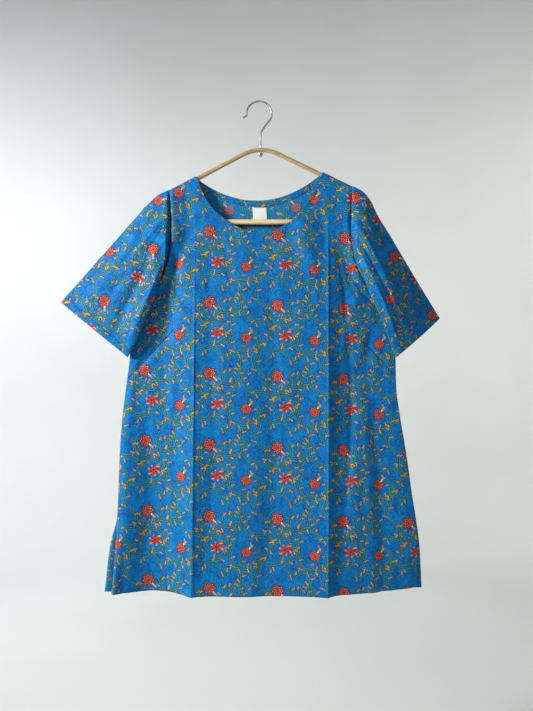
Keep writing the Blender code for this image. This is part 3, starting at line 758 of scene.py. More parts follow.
# %% The panel's lines
def shoulder_drop(x):
    left = LEFT_ARM_DROP + LEFT_ARM_SLOPE * (-ARM_X - x) - OVER_ROD * math.hypot(1, LEFT_ARM_SLOPE)
    right = RIGHT_ARM_DROP + RIGHT_ARM_SLOPE * (x - ARM_X) - OVER_ROD * math.hypot(1, RIGHT_ARM_SLOPE)
    return np.where(x < 0, left, right)


def top_x(across):
    return np.interp(across, (0, 1, 2, 3), (LEFT_SHOULDER_X, LEFT_NECK_X, RIGHT_NECK_X, RIGHT_SHOULDER_X))


def top_drop(across, is_front):
    x = top_x(across)
    share = np.clip((x - LEFT_NECK_X) / (RIGHT_NECK_X - LEFT_NECK_X), 0, 1)
    ends = shoulder_drop(np.array([LEFT_NECK_X, RIGHT_NECK_X]))
    depth = smooth_at(column(NECKLINE, "share"), column(NECKLINE, "front" if is_front else "back"), share)
    neck = mix(ends[0], ends[1], share) + depth * MM
    return np.where((across > 1) & (across < 2), neck, shoulder_drop(x))


def armhole_start(side):
    return float(shoulder_drop(np.array(LEFT_SHOULDER_X if side < 0 else RIGHT_SHOULDER_X)))


def armhole_x(side, share):
    start = LEFT_SHOULDER_X if side < 0 else RIGHT_SHOULDER_X
    end = EDGES[0].left_front if side < 0 else EDGES[0].right_front
    return start - side * ARMHOLE_BOW * np.sin(np.pi * share) + (end - start) * share**ARMHOLE_POWER


def edge_x(side, drop, is_front):
    start = armhole_start(side)
    share = np.clip((drop - start) / (UNDERARM_DROP - start), 0, 1)
    name = ("left_" if side < 0 else "right_") + ("front" if is_front else "back")
    below = smooth_at(column(EDGES, "drop"), column(EDGES, name), drop)
    return np.where(drop < UNDERARM_DROP, armhole_x(side, share), below)


def place_across(across, drop, is_front):
    marks = [
        edge_x(-1, drop, is_front),
        smooth_at(column(CREASES, "drop"), column(CREASES, "left"), drop),
        smooth_at(column(CREASES, "drop"), column(CREASES, "right"), drop),
        edge_x(1, drop, is_front),
    ]
    zone = np.clip(np.floor(across).astype(int), 0, 2)
    return mix(np.choose(zone, marks[:3]), np.choose(zone, marks[1:]), across - zone)


def hem_drop(across, is_front):
    level = FRONT_HEM_DROP if is_front else BACK_HEM_DROP
    left = LEFT_HEM_RISE * np.maximum(0, 1 - across) ** 2
    right = RIGHT_HEM_RISE * np.maximum(0, across - 2) ** 2
    return level - left - right


# %% [markdown]
# The depth of a panel comes from the fold lines on either side of a point. A soft line is level on
# top, and a press crease is sharp, so the two are eased differently. At the top the cloth bends
# over the hanger's arm.

# %% The panel's depth
def fold_depth(folds, across, drop):
    lines = np.array([smooth_at(LEVEL_DROPS, fold[3:], drop) for fold in folds])
    stations = np.array(column(folds, "across"))
    sharp = np.array(column(folds, "sharp"))
    low = np.clip(np.searchsorted(stations, across, side="right") - 1, 0, len(folds) - 2)
    share = (across - stations[low]) / (stations[low + 1] - stations[low])
    eased = share**2 * (3 - 2 * share)
    eased = np.where(sharp[low], 1 - (1 - share) ** 2, eased)
    eased = np.where(sharp[low + 1], share**2, eased)
    below = np.take_along_axis(lines, low[None], 0)[0]
    above = np.take_along_axis(lines, low[None] + 1, 0)[0]
    return mix(below, above, eased) * MM


def wrap_share(across, drop):
    rise = np.clip(1 - (drop - shoulder_drop(top_x(across))) / OVER_ROD, 0, 1)
    return np.sqrt(1 - rise**2)


def panel_points(across, drop, is_front):
    """Points of a panel's outer face, before its small creases."""
    across, drop = np.broadcast_arrays(np.asarray(across, float), np.asarray(drop, float))
    top = top_drop(across, is_front)
    lean = np.clip(1 - (drop - top) / (UNDERARM_DROP - top), 0, 1)
    x = place_across(across, drop, is_front)
    x = x + (top_x(across) - place_across(across, top, is_front)) * lean
    seam = (-0.05 if is_front else 0.05) * MM
    y = mix(seam, fold_depth(FRONT_FOLDS if is_front else BACK_FOLDS, across, drop), wrap_share(across, drop))
    return np.stack((x, y, -drop), -1)


# %% [markdown]
# ## Small creases
#
# Each row is one soft ridge or trough: where it runs, how wide it is, how high it stands and how far
# its steeper side leans. Most of them start where the cloth is pulled: at the shoulders, under the
# arms, at the darts and over the slits.

# %% Crease rows for the front
Ripple = namedtuple("Ripple", "x0 drop0 x1 drop1 width height lean")
FRONT_RIPPLES = (
    Ripple(-258, 535, -186, 459, 3.0, -3.4, 0.0),
    Ripple(-250, 541, -186, 471, 7.0, 1.6, 0.3),
    Ripple(263, 533, 196, 462, 3.0, -1.6, 0.0),
    Ripple(258, 541, 196, 470, 7.0, 0.9, -0.3),
    Ripple(-178, 268, -164, 400, 8.0, -2.6, 0.3),
    Ripple(-164, 226, -140, 352, 10.0, 1.8, 0.2),
    Ripple(-202, 340, -190, 480, 15.0, -5.5, 0.3),
    Ripple(-176, 362, -112, 440, 9.0, -1.8, 0.2),
    Ripple(-214, 398, -138, 462, 9.0, 1.7, -0.2),
    Ripple(-236, 440, -176, 560, 10.0, -1.9, 0.3),
    Ripple(-200, 560, -176, 720, 12.0, -1.2, 0.2),
    Ripple(-146, 380, -150, 960, 12.0, 2.2, -0.3),
    Ripple(-226, 600, -216, 800, 11.0, 1.5, -0.2),
    Ripple(-236, 540, -246, 990, 17.0, -2.4, 0.0),
    Ripple(-160, 700, -170, 940, 12.0, 1.5, 0.2),
    Ripple(-127, 318, -129, 975, 2.0, 1.1, 0.0),
    Ripple(-120, 318, -122, 975, 5.0, -1.0, 0.0),
    Ripple(-112, 300, -96, 470, 9.0, -1.0, 0.2),
    Ripple(-84, 250, -60, 360, 10.0, -1.2, 0.0),
    Ripple(-70, 420, -58, 640, 14.0, 1.3, 0.2),
    Ripple(-20, 262, -8, 420, 9.0, -0.9, 0.2),
    Ripple(-34, 640, -40, 930, 13.0, -1.4, 0.2),
    Ripple(10, 330, 14, 620, 8.0, -1.7, 0.3),
    Ripple(16, 560, 8, 900, 10.0, -1.7, -0.2),
    Ripple(52, 270, 44, 430, 11.0, 1.1, 0.0),
    Ripple(70, 520, 78, 760, 13.0, 1.3, 0.2),
    Ripple(94, 250, 118, 400, 8.0, -1.2, 0.2),
    Ripple(131, 200, 129, 975, 2.0, 1.2, 0.0),
    Ripple(138, 200, 136, 975, 5.0, -2.0, 0.0),
    Ripple(112, 205, 126, 300, 7.0, -1.2, 0.0),
    Ripple(188, 226, 160, 392, 9.0, -2.6, -0.3),
    Ripple(204, 340, 158, 500, 9.0, 1.8, 0.2),
    Ripple(226, 404, 176, 560, 9.0, -2.0, 0.2),
    Ripple(246, 440, 214, 640, 10.0, 1.5, -0.2),
    Ripple(160, 520, 168, 760, 12.0, -1.5, 0.2),
    Ripple(190, 640, 202, 930, 12.0, 1.6, 0.0),
    Ripple(236, 600, 262, 880, 10.0, -1.9, 0.2),
    Ripple(262, 700, 284, 930, 9.0, 1.4, 0.0),
    Ripple(-150, 186, -140, 236, 6.0, -1.0, 0.0),
    Ripple(-192, 396, -112, 222, 14.0, -4.0, 0.2),
    Ripple(70, 190, 116, 350, 19.0, 5.0, 0.2),
    Ripple(148, 180, 140, 236, 6.0, -1.0, 0.0),
)

# %% Crease rows for the back
BACK_RIPPLES = (
    Ripple(-255, 430, -150, 470, 9.0, -1.2, 0.2),
    Ripple(-240, 400, -170, 560, 10.0, 1.1, 0.2),
    Ripple(-176, 250, -140, 420, 10.0, -1.1, 0.2),
    Ripple(-210, 560, -224, 840, 12.0, 1.2, 0.0),
    Ripple(-176, 640, -186, 940, 12.0, -1.2, 0.2),
    Ripple(-90, 220, -70, 380, 11.0, -0.8, 0.0),
    Ripple(-66, 420, -56, 700, 14.0, 1.0, 0.2),
    Ripple(-20, 560, -26, 930, 13.0, -1.1, 0.2),
    Ripple(4, 215, 2, 400, 9.0, -0.9, 0.0),
    Ripple(40, 420, 52, 680, 14.0, 0.9, 0.0),
    Ripple(84, 230, 70, 380, 10.0, -0.9, 0.2),
    Ripple(92, 620, 84, 940, 12.0, -1.0, 0.2),
    Ripple(176, 250, 146, 410, 10.0, -1.2, 0.2),
    Ripple(252, 430, 160, 500, 9.0, -1.2, 0.2),
    Ripple(226, 470, 196, 700, 11.0, 1.2, 0.2),
    Ripple(180, 640, 196, 930, 12.0, -1.2, 0.0),
    Ripple(250, 640, 274, 930, 11.0, 1.0, 0.0),
)


def ripple_height(x, drop, ripples):
    """How far the small creases lift the cloth at each place, in metres."""
    total = np.zeros_like(x)
    for row in ripples:
        start = np.array((row.x0, row.drop0)) * MM
        way = np.array((row.x1, row.drop1)) * MM - start
        length = np.hypot(*way)
        along = ((x - start[0]) * way[0] + (drop - start[1]) * way[1]) / length**2
        off = ((x - start[0]) * way[1] - (drop - start[1]) * way[0]) / length
        bow = 0.05 * length * np.sin(np.pi * np.clip(along, 0, 1)) * (1 if row.height > 0 else -1)
        off = off + bow * (row.width > 3)
        width = row.width * MM * (1 + row.lean * np.sign(off))
        ends = np.clip(np.minimum(along, 1 - along) / 0.35 + 0.15, 0, 1)
        total += row.height * MM * np.exp(-((off / width) ** 2)) * ends**2 * (3 - 2 * ends)
    return total


# %% [markdown]
# Two uneven sets of waves keep the broad faces from looking like sheet metal. They are gentle at the
# shoulders, where the hanger holds the cloth, and stronger lower down.

# %% Broad unevenness
def unevenness(x, drop, seed):
    waves = (
        (61.0, 11.0, 0.42, 0.3),
        (-37.0, 9.0, 0.30, 1.7),
        (96.0, 23.0, 0.16, 2.9),
        (29.0, 31.0, 0.22, 4.1),
        (140.0, -17.0, 0.09, 5.3),
    )
    total = np.zeros_like(x)
    for across, down, height, phase in waves:
        bend = 1.3 * np.sin(down * 0.7 * drop + phase + seed)
        total += height * MM * np.sin(across * x + down * drop + phase * seed + bend)
    return total * np.clip((drop - 0.16) / 0.25, 0.15, 1)


# %% The grid of a panel
SIDE_COLUMNS = 48
NECK_COLUMNS = 76
YOKE_ROWS = 72
SKIRT_ROWS = 148
WRAP_DROPS = np.array((0.0, 0.15, 0.5, 1.0, 1.7, 2.6, 3.8, 5.2, 7.0)) * MM


def panel_grid(is_front):
    """across and drop of every point of a panel, a row for each height and a column for each line."""
    side = 1 - (1 - np.arange(SIDE_COLUMNS) / SIDE_COLUMNS) ** 1.25
    neck = (1 - np.cos(np.pi * np.arange(1, NECK_COLUMNS) / NECK_COLUMNS)) / 2
    neck = np.concatenate(([0.0, 0.0002], neck, [0.9998]))
    across = np.concatenate((side, 1 + neck, 3 - side[::-1]))
    if is_front:
        across = across[::-1]
    top = top_drop(across, is_front)
    wraps = top[None] + WRAP_DROPS[:, None]
    yoke = mix(wraps[-1][None], UNDERARM_DROP, (np.arange(1, YOKE_ROWS) / YOKE_ROWS)[:, None])
    skirt = mix(UNDERARM_DROP, hem_drop(across, is_front)[None], (np.arange(SKIRT_ROWS + 1) / SKIRT_ROWS)[:, None])
    drop = np.concatenate((wraps, yoke, skirt))
    return np.broadcast_to(across, drop.shape), drop


# %% [markdown]
# Near its cut edges a sewn panel is a little thicker and stiffer, because the edge is turned in. The
# hem, the slits and the neckline each get a low band and a fine groove where the stitches pull.

# %% Turned edges
HEM_TURN = 0.013
SLIT_TURN = 0.008
NECK_TURN = 0.0105
SLIT_TOP = 0.790


def turned_edges(across, drop, points, is_front):
    """How far the turned edges stand out, and how deep the stitches pull, in metres."""
    above_hem = hem_drop(across, is_front) - drop
    below_neck = drop - top_drop(across, is_front)
    in_neck = (across > 1.0) & (across < 2.0)
    x = points[..., 0]
    from_side = np.minimum(x - edge_x(-1, drop, is_front), edge_x(1, drop, is_front) - x)
    low = np.clip((drop - SLIT_TOP) / 0.01, 0, 1)
    lift = 0.35 * MM * np.clip((HEM_TURN - above_hem) / MM, 0, 1)
    lift -= 0.35 * MM * np.exp(-(((above_hem - HEM_TURN + 0.001) / (1.1 * MM)) ** 2))
    slit = 0.30 * np.clip((SLIT_TURN - from_side) / MM, 0, 1)
    slit -= 0.25 * np.exp(-(((from_side - SLIT_TURN + 0.001) / (1.1 * MM)) ** 2))
    lift += slit * low * MM
    neck = 0.30 * np.clip((NECK_TURN - below_neck) / MM, 0, 1)
    neck -= 0.40 * np.exp(-(((below_neck - NECK_TURN + 0.001) / (1.0 * MM)) ** 2))
    return lift + np.where(in_neck, neck, 0) * MM * np.clip(below_neck / (0.4 * MM), 0, 1)


def soft_step(value):
    """0 below 0, 1 above 1, and a soft curve between."""
    value = np.clip(value, 0, 1)
    return value * value * (3 - 2 * value)


def panel_surface(across, drop, is_front, turned=True):
    """Points of a panel's outer face with all its creases."""
    across, drop = np.broadcast_arrays(np.asarray(across, float), np.asarray(drop, float))
    points = panel_points(across, drop, is_front)
    x = points[..., 0]
    free = np.clip((drop - shoulder_drop(top_x(across))) / 0.02, 0, 1) ** 2
    from_side = np.minimum(x - edge_x(-1, drop, is_front), edge_x(1, drop, is_front) - x)
    held = np.clip(from_side / 0.02, 0, 1)
    small = ripple_height(x, drop, FRONT_RIPPLES if is_front else BACK_RIPPLES)
    small = small + unevenness(x, drop, 1.0 if is_front else 2.3)
    reach = np.where(x < 0, 0.016, 0.013)
    proud = (1 - np.exp(-from_side / (2.0 * MM))) * np.exp(-((from_side / reach) ** 2))
    lift = small * free * held
    lift += np.where(x < 0, 6.0, 2.5) * MM * proud * free * np.clip((UNDERARM_DROP - drop) / 0.08, 0, 1)
    if is_front:
        rolled = (1 - np.exp(-from_side / (3.0 * MM))) * np.exp(-((from_side / 0.042) ** 2))
        lift += np.where(x < 0, 9.5 * MM, 0) * rolled * np.clip((drop - 0.50) / 0.18, 0, 1)
        left_fall = soft_step((-0.134 - x) / 0.050) * soft_step((drop - 0.34) / 0.14)
        right_fall = soft_step((x - 0.129) / 0.045) * soft_step((drop - 0.242) / 0.06)
        lift -= MM * (6.0 * left_fall + 7.0 * right_fall * soft_step((0.76 - drop) / 0.30)) * held
    if turned:
        lift = lift + turned_edges(across, drop, points, is_front)
    points[..., 1] += lift * (-1 if is_front else 1)
    return points


# %% [markdown]
# ## Making a sheet
#
# `bmesh.ops.create_grid` gives the weave of faces, and the points are moved to their places. Each
# corner also gets its place on the flat cloth, measured along the rows and columns, so the print
# lies on the cloth as it does on the real one. Solidify adds the thickness on the inside.

# %% Sheet helper
def flat_places(points, middle_row, middle_column):
    """Where each point lies on the flat cloth, from lengths along the rows and down the columns."""
    across = np.linalg.norm(np.diff(points, axis=1), axis=2)
    across = np.concatenate((np.zeros((len(points), 1)), np.cumsum(across, 1)), 1)
    u = across - across[:, middle_column : middle_column + 1]
    down = np.linalg.norm(np.diff(points, axis=0), axis=2)
    down = np.concatenate((np.zeros((1, points.shape[1])), np.cumsum(down, 0)))
    v = down - down[middle_row : middle_row + 1]
    return u, v


def hung_places(points, middle_column):
    """Flat places of a panel that hangs nearly flat: its own x and height, and what its folds take up."""
    step = np.diff(points[..., :2], axis=1)
    taken = np.linalg.norm(step, axis=2) - np.abs(step[..., 0])
    taken = np.concatenate((np.zeros((len(points), 1)), np.cumsum(taken * np.sign(step[..., 0]), 1)), 1)
    taken = taken - taken[:, middle_column : middle_column + 1]
    return np.stack((points[..., 0] + taken, points[..., 2]), -1)


def make_sheet(name, points, places, materials, thickness=COTTON, closed=False):
    rows, columns = points.shape[:2]
    shape = bmesh.new()
    bmesh.ops.create_grid(shape, x_segments=columns - 1, y_segments=rows - 1, size=1)
    shape.verts.ensure_lookup_table()
    flat = points.reshape(-1, 3) + (SHANK_X, 0, 0)
    for vert, point in zip(shape.verts, flat):
        vert.co = point
    layer = shape.loops.layers.uv.new("Cloth")
    spots = places.reshape(-1, 2)
    for face in shape.faces:
        face.smooth = True
        for loop in face.loops:
            loop[layer].uv = spots[loop.vert.index]
    if closed:
        bmesh.ops.remove_doubles(shape, verts=shape.verts, dist=0.002 * MM)
    mesh = bpy.data.meshes.new(name)
    shape.to_mesh(mesh)
    shape.free()
    for finish in materials:
        mesh.materials.append(finish)
    sheet = bpy.data.objects.new(name, mesh)
    scene.collection.objects.link(sheet)
    wall = sheet.modifiers.new("Wall", "SOLIDIFY")
    wall.thickness = thickness
    wall.offset = -1
    wall.material_offset = len(materials) - 1
    return sheet


# %% Front and back
BACK_SHIFT = (1.095, -0.031)  # the back is cut from another part of the cloth, away from the darts
for name, is_front in (("front_panel", True), ("back_panel", False)):
    across, drop = panel_grid(is_front)
    points = panel_surface(across, drop, is_front)
    middle = int(np.argmin(np.abs(across[0] - 1.5)))
    places = hung_places(points, middle)
    if not is_front:
        places = places * (-1, 1) + BACK_SHIFT
    sheet = make_sheet(name + "_cloth", points, places, (cotton, wrong_side))
    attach(sheet, "root")
    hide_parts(name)
    print(name, "points:", points.shape[0] * points.shape[1])

# %% [markdown]
# ## Sleeves
#
# Each sleeve is a flattened tube. A section runs from the crown, the outer fold, down the front to
# the fold that lies over the chest, then back to the underarm seam and up behind. The tables give a
# row for each section, as in the solids.

# %% Sleeve tables
Section = namedtuple(
    "Section",
    "reach crown_x crown_y crown_drop fold_x fold_y fold_drop under_x under_y under_drop front_swell back_swell",
)
LEFT_SLEEVE = (
    Section(0.08, -197, 0, 179.5, -192, -15, 346, -257, -3, 413, 5, 6),
    Section(0.20, -216, 0, 195.5, -199, -18, 372, -258, -8, 424, 7, 9),
    Section(0.36, -243, 0, 224.5, -210, -21, 402, -258, -10, 437, 7, 11),
    Section(0.52, -279, 0, 265.5, -222, -21, 432, -258, -10, 451, 7, 11),
    Section(0.68, -316, 0, 307.0, -234, -19, 461, -259, -8, 467, 7, 10),
    Section(0.84, -352, 0, 348.0, -246, -15, 482, -260, -4, 482, 7, 9),
    Section(1.00, -389, 0, 389.5, -256, -10, 497, -262, 2, 495, 6, 8),
)
RIGHT_SLEEVE = (
    Section(0.08, 199, 1, 173.5, 196, -15, 330, 265, -3, 413, 5, 6),
    Section(0.20, 214, 2, 190.5, 201, -19, 352, 266, -8, 424, 8, 10),
    Section(0.36, 229, 5, 219.0, 212, -23, 382, 267, -10, 438, 10, 14),
    Section(0.52, 254, 10, 257.0, 226, -25, 414, 267, -10, 452, 12, 17),
    Section(0.68, 287, 17, 309.0, 239, -24, 446, 268, -8, 467, 13, 19),
    Section(0.84, 322, 25, 363.0, 250, -20, 476, 270, -3, 482, 13, 19),
    Section(1.00, 359, 33, 419.0, 260, -15, 498, 269, 4, 495, 12, 18),
)
FRONT_FADE = 0.5
BACK_FADE = 0.25
FOLD_SHARE = 0.776
COLLAR_WIDTH = 3.5 * MM
CROWN_RADIUS = 3.0 * MM
CUFF_ROWS = np.array((21.0, 18.0, 16.0, 15.0, 14.3, 13.6, 12.8, 10.0, 6.0, 2.5, 0.6, 0.0)) * MM
CUFF_LIFT = (0.0, 0.1, 0.0, -0.4, -0.8, -0.3, 0.35, 0.5, 0.5, 0.5, 0.3, 0.0)


# %% Sleeve surface
def armhole_points(side, share, is_front, out):
    """Points outside the panels' edge and square to it, at shares down the armhole."""
    across = np.full_like(share, 0.0 if side < 0 else 3.0)
    drop = mix(armhole_start(side), UNDERARM_DROP, share)
    here = panel_points(across, drop, is_front)
    way = panel_points(across, drop - 0.5 * MM, is_front) - here
    square = np.stack((side * way[:, 2], 0 * share, -side * way[:, 0]), -1)
    here = here + square / np.linalg.norm(square, axis=1, keepdims=True) * out
    ends = (share < 1e-6) | (share > 1 - 1e-6)
    here[:, 1] = np.where(ends, 0, here[:, 1])
    return here


def sleeve_ring(side, reach, share, is_front):
    """One half of a sleeve's section at a reach from the collar, 0, to the cuff, 1."""
    table = LEFT_SLEEVE if side < 0 else RIGHT_SLEEVE
    reaches = [0.0] + column(table, "reach")
    marks = {"crown": 0.0, "fold": FOLD_SHARE, "under": 1.0}
    collar = {
        name: armhole_points(side, np.array([mark]), is_front, COLLAR_WIDTH)[0] for name, mark in marks.items()
    }

    def guide(name):
        parts = (("_x", MM), ("_y", MM), ("_drop", -MM))
        values = [
            smooth_at(reaches, [first] + [scale * value for value in column(table, name + part)], reach)
            for first, (part, scale) in zip(collar[name], parts)
        ]
        return np.array(values)

    def line(ends, place):
        return mix(ends[0], ends[1], place[:, None])

    first = np.where(share <= FOLD_SHARE, share / FOLD_SHARE, (share - FOLD_SHARE) / (1 - FOLD_SHARE))
    front_side = share <= FOLD_SHARE
    if is_front:
        bare = np.where(
            front_side[:, None],
            line((guide("crown"), guide("fold")), first),
            line((guide("fold"), guide("under")), first),
        )
        start = np.where(
            front_side[:, None],
            line((collar["crown"], collar["fold"]), first),
            line((collar["fold"], collar["under"]), first),
        )
        swell = smooth_at(reaches, [0.0] + column(table, "front_swell"), reach) * MM
        round_out = -swell * np.where(front_side, np.sin(np.pi * first), 0).clip(0) ** 0.6
        place, sign = first, -1.0
    else:
        bare = line((guide("crown"), guide("under")), share)
        start = line((collar["crown"], collar["under"]), share)
        swell = smooth_at(reaches, [0.0] + column(table, "back_swell"), reach) * MM
        round_out = swell * np.sin(np.pi * share).clip(0) ** 0.6
        place, sign = share, 1.0
        front_side = np.full(share.shape, True)
    fade = max(0.0, 1 - reach / (FRONT_FADE if is_front else BACK_FADE)) ** 2
    points = bare + (armhole_points(side, share, is_front, COLLAR_WIDTH) - start) * fade
    near = np.maximum(0, 1 - share * (UNDERARM_DROP - armhole_start(side)) / CROWN_RADIUS)
    level = (1 - place) * min(reach / BACK_FADE, 1.0)
    points[:, 1] += round_out + np.where(front_side, sign * CROWN_RADIUS * np.sqrt(1 - near**2) * level, 0)
    return points


# %% [markdown]
# A set-in sleeve is eased into its armhole, which leaves short soft pleats round the cap. Lower down
# the cloth falls in a few long folds towards the cuff. Their rows are given by reach along the
# sleeve and share round the half section.

# %% Sleeve creases
Pleat = namedtuple("Pleat", "half reach0 share0 reach1 share1 width height")
LEFT_PLEATS = (
    Pleat("front", 0.00, 0.10, 0.30, 0.12, 0.016, 1.0),
    Pleat("front", 0.00, 0.17, 0.36, 0.17, 0.014, -1.2),
    Pleat("front", 0.00, 0.24, 0.60, 0.28, 0.026, 2.4),
    Pleat("front", 0.00, 0.33, 0.45, 0.36, 0.018, -1.6),
    Pleat("front", 0.02, 0.44, 0.50, 0.44, 0.030, 1.6),
    Pleat("front", 0.30, 0.44, 1.00, 0.57, 0.065, -5.5),
    Pleat("front", 0.22, 0.66, 1.00, 0.745, 0.050, 5.0),
    Pleat("front", 0.40, 0.16, 1.00, 0.22, 0.060, 1.8),
    Pleat("front", 0.55, 0.30, 1.00, 0.34, 0.040, -1.4),
    Pleat("back", 0.00, 0.12, 0.34, 0.12, 0.018, 1.0),
    Pleat("back", 0.00, 0.22, 0.55, 0.26, 0.022, -1.6),
    Pleat("back", 0.00, 0.34, 0.80, 0.44, 0.030, 2.6),
    Pleat("back", 0.05, 0.52, 0.98, 0.62, 0.034, -2.8),
    Pleat("back", 0.10, 0.70, 1.00, 0.82, 0.030, 1.8),
)
RIGHT_PLEATS = (
    Pleat("front", 0.00, 0.08, 0.22, 0.10, 0.012, 1.0),
    Pleat("front", 0.00, 0.14, 0.30, 0.15, 0.012, -1.2),
    Pleat("front", 0.00, 0.20, 0.40, 0.24, 0.015, 1.6),
    Pleat("front", 0.00, 0.27, 0.34, 0.32, 0.015, -1.4),
    Pleat("front", 0.00, 0.35, 0.70, 0.43, 0.026, 2.4),
    Pleat("front", 0.00, 0.46, 0.95, 0.55, 0.028, -3.2),
    Pleat("front", 0.04, 0.58, 1.00, 0.68, 0.028, 3.2),
    Pleat("front", 0.24, 0.12, 1.00, 0.15, 0.13, -5.5),
    Pleat("front", 0.25, 0.18, 1.00, 0.20, 0.040, 1.4),
    Pleat("front", 0.20, 0.52, 1.00, 0.58, 0.12, 3.0),
    Pleat("back", 0.00, 0.14, 0.34, 0.15, 0.018, 1.0),
    Pleat("back", 0.00, 0.26, 0.60, 0.32, 0.024, -1.8),
    Pleat("back", 0.00, 0.40, 0.80, 0.52, 0.030, 2.6),
    Pleat("back", 0.06, 0.60, 1.00, 0.72, 0.030, -2.4),
)


def pleat_height(pleats, half, reach, share):
    total = np.zeros_like(share)
    for row in pleats:
        if row.half != half or not row.reach0 - 0.1 <= reach <= row.reach1 + 0.1:
            continue
        along = (reach - row.reach0) / (row.reach1 - row.reach0)
        middle = mix(row.share0, row.share1, along)
        ends = np.clip(min((along + 0.12) / 0.12, (1.1 - along) / 0.5), 0, 1)
        total += row.height * MM * ends * np.exp(-(((share - middle) / row.width) ** 2))
    return total


def seam_step(side, reach, share):
    """The eased sleeve stands a little proud of the armhole, and falls back to the flat in time."""
    away = reach * (285 - 156 * share) + 3.0
    height = 8.0 if side < 0 else 3.5
    ends = np.clip(share / 0.10, 0, 1) * np.clip((0.80 - share) / 0.25, 0, 1)
    return height * MM * (1 - np.exp(-away / 2.2)) * np.exp(-((away / 17) ** 2)) * ends


def cuff_rows(points, kept=12):
    """The last rows of a sleeve, laid again at fixed distances from the cuff, with its hem."""
    rows = points[-kept - 1 :]
    lengths = np.linalg.norm(np.diff(rows[..., :3], axis=0), axis=2)
    away = np.concatenate((np.cumsum(lengths[::-1], 0)[::-1], np.zeros((1, rows.shape[1]))))
    new = []
    for distance in CUFF_ROWS:
        share = np.clip(distance / away[0], 0, 1)
        target = share * away[0]
        columns = [
            [np.interp(target[i], away[::-1, i], rows[::-1, i, axis]) for axis in range(rows.shape[2])]
            for i in range(rows.shape[1])
        ]
        new.append(columns)
    return np.concatenate((points[:-kept], np.array(new)))


def sleeve_grid(side, rings, steps):
    """Every point of a sleeve, and its place on the flat cloth. Rows are sections.

    A section starts at the underarm seam, goes up behind to the crown and down the front. The cloth
    is unrolled about the crown, and about the fold over the chest, as a paper model would be.
    """
    share = np.sort(np.append(np.linspace(0, 1, steps) ** 1.25, FOLD_SHARE))
    pleats = LEFT_PLEATS if side < 0 else RIGHT_PLEATS
    rows = []
    for reach in [-1.0] + list((np.arange(rings) / (rings - 1)) ** 1.15):
        halves = []
        for is_front in (False, True):
            if reach < 0:
                half = armhole_points(side, share, is_front, 0.15 * MM)
            else:
                half = sleeve_ring(side, reach, share, is_front)
                lift = pleat_height(pleats, "front" if is_front else "back", reach, share)
                lift += seam_step(side, reach, share) * (1 if is_front else 0.6)
                half[:, 1] += lift * (-1 if is_front else 1) * np.clip(np.minimum(share, 1 - share) / 0.05, 0, 1)
            halves.append(half)
        rows.append(np.concatenate((halves[0][::-1], halves[1][1:])))
    points = np.array(rows)
    flat = points[..., (0, 2)].copy()
    crown = len(share) - 1
    fold = crown + int(np.searchsorted(share, FOLD_SHARE))
    flat[:, :crown] = mirrored(flat[:, :crown], flat[1, crown], flat[-1, crown])
    flat[:, fold + 1 :] = mirrored(flat[:, fold + 1 :], flat[1, fold], flat[-1, fold])
    way = flat[-1, crown] - flat[1, crown]
    down = -way / np.linalg.norm(way)
    grain = np.array(((down[1], -down[0]), (down[0], down[1])))
    flat = (flat - flat[1, crown]) @ grain.T
    both = cuff_rows(np.concatenate((points, flat), 2))
    outward = np.where(np.arange(both.shape[1]) > crown, -1, 1) * np.clip(
        np.minimum(np.arange(both.shape[1]), both.shape[1] - 1 - np.arange(both.shape[1])) / 6, 0, 1
    )
    count = len(CUFF_ROWS)
    both[-count:, :, 1] += np.array(CUFF_LIFT)[:, None] * MM * outward
    return both[..., :3], both[..., 3:]


def mirrored(flat, start, end):
    """Flat places reflected across the line from start to end."""
    way = (end - start) / np.linalg.norm(end - start)
    off = flat - start
    return start + 2 * (off @ way)[..., None] * way - off


# %% Both sleeves
for name, side, shift in (("left_sleeve", -1, (-0.030, -0.02)), ("right_sleeve", 1, (0.045, 0.035))):
    points, places = sleeve_grid(side, 84, 62)
    if side < 0:
        points, places = points[:, ::-1], places[:, ::-1]
    places = places + shift
    sheet = make_sheet(name + "_cloth", points, places, (cotton, wrong_side), closed=True)
    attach(sheet, "root")
    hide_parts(name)
    print(name, "points:", points.shape)

# %% [markdown]
# ## Facing and label
#
# The back neckline is finished with a strip of the same cotton, turned to the inside, and a small
# blank label is sewn below it. Both lie on the inner face of the back panel.

# %% Facing and label
FACING_WIDTH = 0.0125
LABEL_WIDTH = 0.027
LABEL_HEIGHT = 0.030
LABEL_TOP_DROP = 0.2035


def inside_back(across, drop, lift):
    """Points inside the back panel, lifted off its inner face towards the front."""
    here = panel_surface(across, drop, False, False)
    right = panel_surface(across + 0.02, drop, False, False) - here
    down = panel_surface(across, drop + 1 * MM, False, False) - here
    out = np.cross(down, right)
    return here + out / np.linalg.norm(out, axis=-1, keepdims=True) * np.asarray(lift)[..., None]


across = np.broadcast_to(np.linspace(1.90, 1.10, 101), (13, 101))
below = np.linspace(0, 1, 13)[:, None] * FACING_WIDTH
edge_roll = np.exp(-(((below - FACING_WIDTH) / MM) ** 2)) * 0.3 * MM
points = inside_back(across, top_drop(across, False) + 0.3 * MM + below, 1.35 * MM - edge_roll)
u, v = flat_places(points, 0, 50)
facing = make_sheet(
    "back_neck_facing_cloth", points, np.stack((0.02 - u, -0.29 - v), -1), (cotton, wrong_side)
)
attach(facing, "root")
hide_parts("back_neck_facing")

